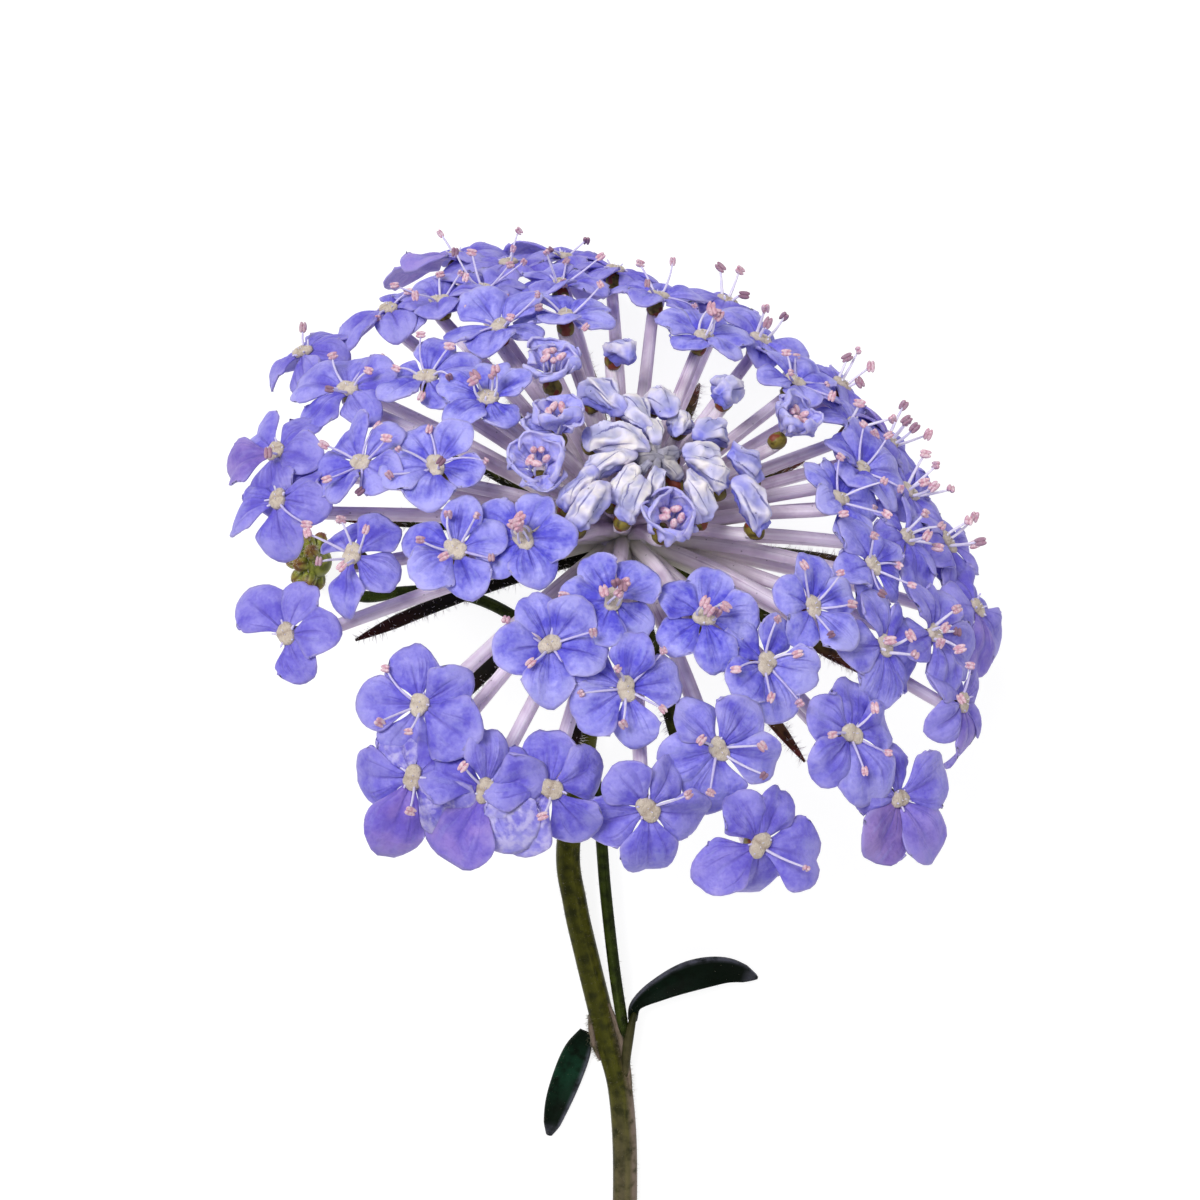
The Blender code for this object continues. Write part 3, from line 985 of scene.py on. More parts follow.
@dataclass(frozen=True)
class Habit:
    """What sets one open floret apart. Petals go by number, the outward one being 0.

    A blush above 1 greys the petal. A fresh floret still has its stamens bent inwards, and a
    bare one has lost its anthers.
    """

    spin_degrees: float = 0.0
    size: float = 1.0
    fresh: bool = False
    bare: bool = False
    missing: tuple[int, ...] = ()
    faded: tuple[int, ...] = ()
    lengths: Mapping[int, float] = field(default_factory=dict)
    widths: Mapping[int, float] = field(default_factory=dict)
    pitches: Mapping[int, float] = field(default_factory=dict)
    blushes: Mapping[int, float] = field(default_factory=dict)


@dataclass(frozen=True)
class Floret:
    """One open floret."""

    azimuth: int
    reach_mm: float
    ring: Ring
    frame: Matrix
    habit: Habit

    @property
    def reach(self) -> float:
        """Distance from the axis."""
        return self.reach_mm * MM

    @property
    def fresh(self) -> bool:
        """Whether it has only just opened."""
        return self.habit.fresh or self.reach_mm < 13.2

    @property
    def near(self) -> bool:
        """Whether it is on the side towards the stem."""
        return 240 < self.azimuth < 345

    @property
    def far_side(self) -> bool:
        """Whether it is on the side where stamens stand up against the light."""
        right = self.azimuth <= 20 or self.azimuth > 335
        return 20 < self.azimuth < 100 or (self.ring is not Ring.RIM and right)

    @property
    def far_left(self) -> bool:
        """Whether it is on the left of the rim, where stamens are short."""
        return self.ring is Ring.RIM and 100 < self.azimuth < 200

    def draw(self, salt: int) -> np.random.Generator:
        """Seeded draws of the floret's own."""
        return np.random.default_rng([SEED, self.azimuth, int(self.reach_mm * 10), salt])


@dataclass(frozen=True)
class Bud:
    """A bud's azimuth in degrees, reach in mm, share of full size and turn in degrees."""

    azimuth: float
    reach: float
    share: float = 1.0
    turn: float = 0.0

    def frame(self, dome: Dome) -> Matrix:
        """Its frame on a dome, turned off the radius."""
        return dome.spot(self.azimuth, self.reach, math.radians(self.turn))


@dataclass(frozen=True)
class Layout:
    """Where the florets and buds stand: azimuth in degrees and reach in mm.

    A closed bud also has its share of full size and its turn off the radius in degrees.
    """

    dome: Dome = Dome()
    spin_jitter: float = math.radians(14)
    lean_jitter: float = math.radians(6)
    standing_height: float = 6 * MM
    standing_spin: float = math.pi / 5
    rim: tuple[tuple[int, float], ...] = (
        (17, 29.0), (27, 26.5), (48, 25.0), (63, 25.0), (90, 27.3), (111, 26.5), (119, 29.0),
        (130, 27.5), (135, 31.5), (157, 26.0), (172, 28.5), (195, 26.5), (205, 26.0), (228, 27.5),
        (257, 27.5), (267, 26.0), (276, 24.5), (292, 24.5), (310, 27.0), (336, 28.5), (358, 28.6),
    )
    middle: tuple[tuple[int, float], ...] = (
        (4, 24.5), (22, 21.5), (35, 23.5), (51, 21.0), (80, 21.5), (104, 21.5), (125, 22.0),
        (141, 23.0), (150, 23.7), (181, 23.0), (201, 20.5), (221, 22.0), (251, 24.0), (305, 21.0),
        (333, 23.2), (352, 21.0),
    )
    inner: tuple[tuple[int, float], ...] = (
        (8, 18.0), (24, 15.0), (37, 18.5), (66, 18.5), (92, 16.5), (131, 16.5), (149, 17.5),
        (175, 18.0), (178, 13.0), (205, 15.5), (231, 16.0), (239, 11.9), (265, 16.5), (276, 12.0),
        (285, 17.5), (307, 12.5), (321, 16.5), (343, 15.2),
    )
    half_open: tuple[tuple[int, float], ...] = (
        (151, 11.2), (181, 7.6), (210, 8.6), (299, 5.4), (52, 13.5),
    )
    closed_buds: tuple[tuple[float, float, float, float], ...] = (
        (120, 11.5, 1.0, 0), (75, 10.7, 1.1, 0), (144, 6.6, 1.05, 0), (103, 5.8, 1.0, 12),
        (58, 5.9, 1.0, 0), (32.5, 7.3, 0.9, -22), (3, 7.8, 1.05, -22), (230, 6.5, 0.85, 18),
        (244, 6.7, 0.95, 15), (129, 4.3, 1.0, 0), (82, 4.3, 0.85, 0), (37, 3.7, 0.8, 0),
        (15, 4.1, 0.9, -12), (341, 4.1, 0.9, -20), (266, 4.1, 0.85, 0), (248, 3.4, 0.8, 8),
        (214, 3.6, 0.9, 5), (176, 3.3, 1.15, 0), (115, 2.5, 0.7, 0), (290, 2.6, 0.7, 0),
        (195, 0.5, 0.55, 0), (56, 1.2, 0.5, 0), (350, 1.3, 0.5, 0),
    )
    tiny: tuple[tuple[int, float], ...] = (
        (20, 0.9), (110, 1.2), (150, 0.9), (250, 1.4), (290, 1.0),
    )
    tiny_share: float = 0.34
    habits: Mapping[tuple[int, float], Habit] = field(default_factory=lambda: {
        (17, 29.0): Habit(blushes={4: 0.8}, pitches={4: 0.2}),
        (48, 25.0): Habit(blushes={1: 1.3, 2: 0.7}),
        (135, 31.5): Habit(blushes={0: 1.1, 1: 0.9}, pitches={0: -0.1}),
        (157, 26.0): Habit(blushes={0: 1.1}, pitches={0: -0.15}),
        (172, 28.5): Habit(spin_degrees=-20, size=0.92, lengths={1: 0.74, 0: 0.85}),
        (195, 26.5): Habit(
            spin_degrees=30, size=0.94, blushes={0: 1.5}, lengths={0: 0.92}, widths={0: 1.05},
            pitches={0: 0.35},
        ),
        (205, 26.0): Habit(size=0.9, pitches={0: 0.2}),
        (228, 27.5): Habit(
            spin_degrees=14, size=0.92, bare=True, missing=(0,), lengths={1: 0.72},
        ),
        (257, 27.5): Habit(
            spin_degrees=9, faded=(3, 1), blushes={0: 1.0}, widths={0: 0.78}, pitches={0: 0.15},
        ),
        (267, 26.0): Habit(
            spin_degrees=-22, faded=(1,), blushes={0: 0.9}, widths={0: 1.08}, pitches={0: 0.12},
        ),
        (276, 24.5): Habit(spin_degrees=-15, faded=(0,)),
        (292, 24.5): Habit(spin_degrees=22, widths={0: 0.86}, lengths={0: 1.06}),
        (310, 27.0): Habit(pitches={0: -0.75}, blushes={4: 0.3}),
        (336, 28.5): Habit(
            spin_degrees=20, blushes={4: 1.9, 0: 0.6}, widths={4: 1.1},
            pitches={0: 0.5, 1: 0.25, 4: 0.1},
        ),
        (358, 28.6): Habit(
            spin_degrees=30, blushes={4: 0.8}, widths={4: 0.85, 3: 0.9}, pitches={4: 0.15},
        ),
        (201, 20.5): Habit(size=0.94),
        (221, 22.0): Habit(spin_degrees=-8, size=0.9, missing=(0,)),
        (251, 24.0): Habit(spin_degrees=20),
        (305, 21.0): Habit(spin_degrees=10),
        (92, 16.5): Habit(fresh=True),
        (231, 16.0): Habit(spin_degrees=20),
        (265, 16.5): Habit(spin_degrees=28, widths={0: 0.82}),
        (285, 17.5): Habit(spin_degrees=-27),
    })

    def florets(self) -> list[Floret]:
        """Places the open florets.

        Returns:
            The florets, from the rim inwards.
        """
        found = []
        for ring, spots in zip(Ring, (self.rim, self.middle, self.inner)):
            for azimuth, reach in spots:
                draw = random.Random(SEED + azimuth)
                habit = self.habits.get((azimuth, reach), Habit())
                spin = draw.uniform(-self.spin_jitter, self.spin_jitter)
                spin += math.radians(habit.spin_degrees)
                lean = draw.uniform(-self.lean_jitter, self.lean_jitter)
                place = self.dome.spot(azimuth, reach, spin, lean)
                if place.translation.z < self.standing_height:
                    place = self.dome.spot(azimuth, reach, self.standing_spin)
                found.append(Floret(azimuth, reach, ring, place, habit))
        return found

    def buds(self) -> list[Bud]:
        """The closed buds, without the tiny ones in the middle."""
        return [Bud(*row) for row in self.closed_buds]

    def tiny_buds(self) -> list[Bud]:
        """The tiny closed buds in the middle, which have no stalks of their own."""
        return [Bud(azimuth, reach, self.tiny_share) for azimuth, reach in self.tiny]


# Open florets


@dataclass
class Corollas:
    """The petals of the open florets. Their forms are shares of a petal's length.

    Pairs are the least and the most of an even draw, and spreads belong to normal ones.
    """

    layout: Layout
    at_axis: float = 2.9 * MM
    per_reach: float = 0.078
    outward_gain: float = 0.16
    thickness: float = 0.17 * MM
    disc_reach: float = 0.45 * MM
    sizes: Span = (0.93, 1.06)
    half_widths: Span = (0.38, 0.50)
    broadest: Span = (0.60, 0.74)
    claw: float = 0.18
    notch: float = 0.05
    lobes: Span = (0.03, 0.08)
    arches: Span = (0.04, 0.13)
    folds: Span = (-0.08, 0.10)
    curls: Span = (-0.13, 0.06)
    twist_spread: float = 0.08
    dent_places: Span = (0.35, 0.75)
    dent_width: float = 0.26
    dent_depth: float = 0.06
    ruffle: float = 0.022
    crimp: float = 0.009
    pitch_spread: float = 0.14
    usual_roll: float = 0.08
    roll_spread: float = 0.15
    turn_spread: float = 0.08
    droops: Mapping[Ring, Span] = field(default_factory=lambda: {
        Ring.RIM: (0.10, 0.28), Ring.MIDDLE: (0.04, 0.20), Ring.INNER: (0.0, 0.12),
    })
    moods: Mapping[Ring, Span] = field(default_factory=lambda: {
        Ring.RIM: (-0.30, 0.02), Ring.MIDDLE: (-0.20, 0.08), Ring.INNER: (-0.04, 0.20),
    })
    near_droop: float = 0.35
    rim_blush: float = 0.4
    top_clearance: float = 0.22 * MM
    clearance: float = 0.04 * MM
    rows: int = 16
    columns: int = 13

    def across(self) -> Array:
        """Places across a petal from -1 to 1, closer together near its edges."""
        return np.sin(math.pi / 2 * np.linspace(-1, 1, self.columns))

    def grid(self) -> dict[str, Array]:
        """The places across and along a petal of its points, upper side first."""
        v = np.repeat(np.linspace(0, 1, self.rows), self.columns)
        return {"u": np.tile(self.across(), self.rows * 2), "v": np.tile(v, 2)}

    def lengths(self, reach: float) -> list[float]:
        """How long a floret's petals are.

        Args:
            reach: The floret's distance from the axis.

        Returns:
            Their usual lengths, the outward one first.
        """
        plain = self.at_axis + self.per_reach * reach
        outward = self.outward_gain * (reach / self.layout.dome.rim_reach) ** 2
        turns = [FULL_TURN * i / PETAL_COUNT for i in range(PETAL_COUNT)]
        return [plain * (1 + outward * math.cos(turn)) for turn in turns]

    def blade(self, length: float, pitch: float, cup: float, draw: np.random.Generator,
              breadth: float = 1.0) -> tuple[Array, Array]:
        """The upper surface of one petal, which points along +X.

        Args:
            length: Distance of its tip from the floret's axis.
            pitch: How far it rises from its base.
            cup: How far its tip bends up, or down where it is negative.
            draw: Seeded draws.
            breadth: Share of its usual width.

        Returns:
            The rows of points, from the base to the tip, and for each how deep it lies in a
            fold, from 0 to 1.
        """
        v = np.linspace(0, 1, self.rows)[:, None]
        u = self.across()[None, :]
        half_width = length * draw.uniform(*self.half_widths) * breadth
        broadest = draw.uniform(*self.broadest)
        rise = np.sin(math.pi / 2 * np.minimum(v / broadest, 1)) ** 1.5
        widen = (self.claw + (1 - self.claw) * rise) * (1 - 0.6 * np.maximum(v - broadest, 0) ** 2)
        phases = draw.uniform(0, 6, 6)
        wave = 1 + 0.022 * np.sin(4.2 * u + phases[4]) * v + 0.008 * np.sin(9 * u + phases[5]) * v
        wave -= draw.uniform(0, self.notch) * hump(u, 0.22) * v**6
        # Towards the tip the rows bend into arcs, so that it ends round.
        rounded = 1 - np.sqrt(1 - 0.985 * u**2)
        along = v - 0.47 * rounded * v**1.9
        run = (length - self.disc_reach) * along * wave
        y = half_width * widen * u * (1 + 0.04 * np.sin(6 * v + phases[3]))
        lobes = np.sin(math.pi * np.minimum(along, 0.98)) ** 0.8 * (1 - (2 * np.abs(u) - 1) ** 2)
        lobes = draw.uniform(*self.lobes) * lobes
        arch = draw.uniform(*self.arches) * np.sin(math.pi * along)
        fold = draw.uniform(*self.folds) * np.abs(u) * along * (1 - 0.4 * along)
        curls = [draw.uniform(*self.curls) for _ in range(2)]
        edge = np.where(u < 0, curls[0], curls[1]) * np.abs(u) ** 3 * along
        twist = draw.normal(0, self.twist_spread) * u * along
        # A dent runs across the petal on a line of its own.
        heading = draw.uniform(-1.3, 1.3)
        apart = (v - draw.uniform(*self.dent_places)) * 1.8 * math.cos(heading)
        apart = apart + u * math.sin(heading)
        dent = hump(apart, self.dent_width) * np.sin(math.pi * np.minimum(v, 0.97)) ** 0.6
        dent = dent * draw.uniform(0.0, 1.0)
        ruffle = self.ruffle * np.sin(3.6 * u + phases[0]) * np.sin(4.4 * v + phases[1])
        ruffle += self.crimp * np.sin(10 * u + phases[2] + 3 * v) * v
        z = lobes + arch + fold + edge + cup * along**2.2 + twist + ruffle * along
        z = (z - self.dent_depth * dent) * length
        x = self.disc_reach + run * math.cos(pitch) - z * math.sin(pitch)
        z = run * math.sin(pitch) + z * math.cos(pitch)
        return np.stack([x, y + 0 * z, z], axis=-1), dent

    def petals(self, floret: Floret, sketch: Sketch) -> None:
        """Adds the five petals of one floret.

        Args:
            floret: The floret.
            sketch: The piece that takes them.
        """
        draw = floret.draw(1)
        mood = draw.uniform(*self.moods[floret.ring])
        habit = floret.habit
        for i, length in enumerate(self.lengths(floret.reach)):
            outward = max(0.0, math.cos(FULL_TURN * i / PETAL_COUNT))
            pitch = mood + draw.normal(0, self.pitch_spread) + habit.pitches.get(i, 0.0)
            cup = -draw.uniform(*self.droops[floret.ring]) * (1 + 0.5 * outward)
            cup *= self.near_droop if floret.near else 1.0
            reach = length * habit.size * habit.lengths.get(i, 1.0) * draw.uniform(*self.sizes)
            blade, dent = self.blade(reach, pitch, cup, draw, habit.widths.get(i, 1.0))
            roll = Matrix.Rotation(draw.normal(self.usual_roll, self.roll_spread), 4, "X")
            turn = spun(FULL_TURN * i / PETAL_COUNT + draw.normal(0, self.turn_spread))
            top = placed(blade, floret.frame @ turn @ roll)
            shell = thick_sheet(kept_above(top, self.top_clearance), self.thickness)
            shell.points = kept_above(shell.points, self.clearance)
            blush = 0.0
            if floret.ring is Ring.RIM:
                blush = outward * draw.uniform(0.0, self.rim_blush)
            if i in habit.missing:
                continue
            sketch.add(shell, **self.grid(), shade=draw.uniform(0, 1),
                       blush=habit.blushes.get(i, blush),
                       dent=np.tile(dent.ravel(), 2), faded=float(i in habit.faded),
                       outer=min(max((floret.reach_mm - 14) / 14, 0), 1))

    def build(self) -> None:
        """Makes one piece for each ring."""
        for ring in Ring:
            sketch = Sketch()
            for floret in self.layout.florets():
                if floret.ring is ring:
                    self.petals(floret, sketch)
            sketch.piece(f"petals_{ring.value}", PETALS, "petals", "corollas")


@dataclass
class FloretCentres:
    """Discs, styles, filaments and anthers of the open florets."""

    layout: Layout
    disc_radius: float = 0.80 * MM
    disc_height: float = 0.42 * MM
    filament_radius: float = 0.11 * MM
    filament_steps: int = 9
    filament_sides: int = 6
    anther_size: Place = (0.42 * MM, 0.17 * MM, 0.19 * MM)
    anther_split: float = 0.12 * MM
    anther_bend: float = 0.16 * MM
    anther_grid: tuple[int, int] = (10, 6)
    groove_width: float = 0.13 * MM
    groove_depth: float = 0.07 * MM
    bump_height: float = 0.035 * MM
    disc_sink: float = 0.2 * MM
    disc_rise: float = 0.06 * MM
    upright_rises: Span = (0.9, 1.45)
    spread_rises: Span = (0.2, 1.1)
    upright_lengths: Span = (1.8, 2.6)
    spread_lengths: Span = (2.3, 3.3)
    stump_lengths: Span = (0.3, 0.7)
    curls: Span = (-0.40, 0.25)
    fresh_curl: float = -0.45
    far_left_share: float = 0.66
    lost: Mapping[Ring, float] = field(default_factory=lambda: {
        Ring.RIM: 0.8, Ring.MIDDLE: 0.22, Ring.INNER: 0.08,
    })
    lost_far: float = 0.25
    dark_share: float = 0.15
    dark_far: float = 0.55
    dark_shades: Span = (0.5, 1)
    pale_shades: Span = (0, 0.2)

    def disc(self, floret: Floret, discs: Sketch, filaments: Sketch) -> None:
        """Adds the two-lobed cushion of a floret and its two styles.

        Args:
            floret: The floret.
            discs: The piece that takes the cushion.
            filaments: The piece that takes the styles.
        """
        draw = floret.draw(2)
        shell, _, _ = ball(24, 11)
        x, y, z = shell.points.T
        angle = np.arctan2(y, x)
        outline = 1 + draw.uniform(0.10, 0.28) * np.cos(2 * angle)
        outline += 0.07 * np.sin(3 * angle + draw.uniform(0, 6))
        outline += 0.03 * np.sin(5 * angle + draw.uniform(0, 6))
        spread = self.disc_radius * draw.uniform(0.92, 1.06) * outline
        groove = hump(x * spread, self.groove_width) * (z > 0.05)
        top = self.disc_height * np.sqrt(np.maximum(z, 0))
        high = np.where(z > 0, top, self.disc_sink * z) - self.groove_depth * groove
        bumps = np.sin(7 * x + 1) * np.sin(9 * y + draw.uniform(0, 6)) * (z > 0)
        high += self.bump_height * bumps + self.disc_rise
        turn = floret.frame @ spun(draw.uniform(0, math.pi))
        age = 1.0 if floret.ring is Ring.RIM else draw.uniform(0, 0.3)
        shell.points = placed(np.stack([x * spread, y * spread, high], axis=1), turn)
        discs.add(shell, groove=groove, age=age)
        for side in (-1, 1):
            foot = Vector((0.06 * side, 0.02, 0.2)) * MM
            tip = foot + Vector((0.16 * side, draw.uniform(-0.1, 0.1), 0.42)) * MM
            path = smooth_path([turn @ foot, turn @ foot.lerp(tip, 0.6), turn @ tip], 2)
            style, _, _ = tube(path, np.linspace(0.06, 0.025, len(path)) * MM, 5)
            filaments.add(style, lying=0.0)

    def stamen(self, floret: Floret, i: int, filaments: Sketch, anthers: Sketch) -> None:
        """Adds one stamen.

        Args:
            floret: The floret.
            i: Which of its five stamens.
            filaments: The piece that takes the filament.
            anthers: The piece that takes the anther.
        """
        draw = floret.draw(10 + i)
        fresh = floret.fresh
        far_rim = floret.far_side and floret.ring is Ring.RIM
        lost = self.lost_far if far_rim else self.lost[floret.ring]
        shed = draw.random() < lost or floret.habit.bare
        upright = fresh or (floret.far_side and floret.ring is not Ring.INNER)
        rise = draw.uniform(*(self.upright_rises if upright else self.spread_rises))
        length = draw.uniform(*(self.upright_lengths if upright else self.spread_lengths))
        length *= self.far_left_share if floret.far_left else 1.0
        length = (draw.uniform(*self.stump_lengths) if shed else length) * MM
        curl = self.fresh_curl if fresh else draw.uniform(*self.curls)
        t = np.linspace(0, 1, self.filament_steps)
        out = 0.5 * MM + length * (t * math.cos(rise) + (curl if fresh else 0) * t**2)
        up = 0.15 * MM + length * (t * math.sin(rise) + (0 if fresh else curl) * t**2)
        aside = length * draw.uniform(-0.28, 0.28) * t**2
        turn = spun(FULL_TURN * (i + 0.5) / PETAL_COUNT + draw.normal(0, 0.12))
        path = placed(np.stack([out, aside, up], axis=1), floret.frame @ turn)
        path = kept_above(path, 0.3 * MM)
        stout = 1.3 if upright and not fresh else 1.0
        radii = self.filament_radius * stout * np.linspace(1.0, 0.62, self.filament_steps)
        radii[-1] *= 0.6
        shell, _, _ = tube(path, radii, self.filament_sides)
        filaments.add(shell, lying=0.0 if upright else min(max(1.3 - rise, 0), 1))
        if shed:
            return
        turned = tossed(path[-1], draw)
        often = self.dark_far if far_rim else self.dark_share
        dark = draw.uniform(*(self.dark_shades if draw.random() < often else self.pale_shades))
        grow = 1.2 if upright else draw.uniform(0.85, 1.1)
        for side in (-1, 1):
            lobe, _, _ = ball(*self.anther_grid)
            bent = lobe.points * np.array(self.anther_size) * grow
            bent[:, 1] += side * self.anther_split * grow
            bent[:, 2] += self.anther_bend * lobe.points[:, 0] ** 2
            lobe.points = kept_above(placed(bent, turned), 0.05 * MM)
            anthers.add(lobe, fresh=float(fresh), shed=dark)

    def build(self) -> None:
        """Makes the discs, the filaments and the anthers."""
        discs = Sketch()
        filaments = Sketch()
        anthers = Sketch()
        for floret in self.layout.florets():
            self.disc(floret, discs, filaments)
            for i in range(PETAL_COUNT):
                self.stamen(floret, i, filaments, anthers)
        discs.piece("floret_discs", DISCS, "petals", "corollas")
        filaments.piece("filaments", FILAMENTS, "petals", "corollas")
        anthers.piece("anthers", ANTHERS, "petals", "corollas")


# Stalks and buds


@dataclass
class Stalks:
    """Receptacle, pedicels and ovaries."""

    layout: Layout
    root_radius: float = 0.70 * MM
    tip_radius: float = 0.52 * MM
    lift: float = 0.7 * MM
    root_reach: float = 0.9 * MM
    root_rise: float = 0.6 * MM
    flare: float = 1.25
    flare_rings: int = 6
    sides: int = 12
    ribs: int = 5
    ovary_length: float = 1.5 * MM
    ovary_radii: Place = (0.80 * MM, 0.62 * MM, 0.80 * MM)
    ovary_grid: tuple[int, int] = (14, 9)
    below_disc: float = 0.25 * MM
    below_half_open: float = 1.2 * MM
    below_bud: float = 0.4 * MM
    bud_foot: Place = (1.3 * MM, 0.0, -0.7 * MM)
    receptacle_profile: tuple[Span, ...] = (
        (-0.3, 3.0), (0.1, 3.2), (0.8, 3.0), (1.6, 2.5), (2.1, 1.9), (2.4, 1.0), (2.5, 0.3),
    )

    def pedicel(self, frame_of: Matrix, below: float, kind: float, stalks: Sketch,
                ovaries: Sketch) -> None:
        """Adds a pedicel and the ovary at its end.

        Args:
            frame_of: The frame of the floret or bud, in the part's.
            below: How far under it the ovary ends.
            kind: A number that sets its grain apart from that of the others.
            stalks: The piece that takes the pedicel.
            ovaries: The piece that takes the ovary.
        """
        head = self.layout.dome.matrix()
        frame_in = head.inverted() @ frame_of
        neck = frame_in @ Vector((0, 0, -below - self.ovary_length))
        root = neck.normalized() * self.root_reach + Vector((0, 0, self.root_rise))
        middle = root.lerp(neck, 0.5) + Vector((0, 0, self.lift))
        end = frame_in @ Vector((0, 0, -below - self.ovary_length * 0.6))
        path = smooth_path([head @ point for point in (root, middle, neck, end)], 7)
        share = np.linspace(0, 1, len(path))
        radii = self.root_radius + (self.tip_radius - self.root_radius) * share**0.7
        radii[-self.flare_rings :] *= np.linspace(1.0, self.flare, self.flare_rings)
        shell, along, around = tube(
            path, radii, self.sides, squash=0.86, ribs=self.ribs, rib_height=0.07,
        )
        stalks.add(shell, along=along, turn=around, kind=kind)
        body, _, _ = ball(*self.ovary_grid)
        x, y, z = body.points.T
        ribs = 1 + 0.10 * np.abs(np.cos(PETAL_COUNT / 2 * np.arctan2(y, x)))
        waist = 1 - 0.18 * hump(y, 0.25) * (np.abs(x) > 0.3)
        points = np.stack([x * ribs, y * ribs, z * waist], axis=1) * np.array(self.ovary_radii)
        points[:, 2] -= below + self.ovary_length * 0.42
        body.points = placed(points, frame_of)
        ovaries.add(body)

    def receptacle(self, stalks: Sketch) -> None:
        """Adds the short cone that the pedicels grow from."""
        shell, along, around = self.layout.dome.collar(self.receptacle_profile, 0.05)
        stalks.add(shell, along=along * 0.3, turn=around, kind=0.5)

    def build(self) -> None:
        """Makes the stalks and the ovaries."""
        stalks = Sketch()
        ovaries = Sketch()
        self.receptacle(stalks)
        dome = self.layout.dome
        for n, floret in enumerate(self.layout.florets()):
            self.pedicel(floret.frame, self.below_disc, n / 80, stalks, ovaries)
        for n, (azimuth, reach) in enumerate(self.layout.half_open):
            spot = dome.spot(azimuth, reach)
            self.pedicel(spot, self.below_half_open, n / 9, stalks, ovaries)
        for n, bud in enumerate(self.layout.buds()):
            foot = Matrix.Translation(Vector(self.bud_foot) * bud.share)
            self.pedicel(bud.frame(dome) @ foot, self.below_bud, n / 24, stalks, ovaries)
        stalks.piece("pedicels", STALKS, "pedicels", "pedicels_and_buds")
        ovaries.piece("ovaries", OVARIES, "pedicels", "pedicels_and_buds")


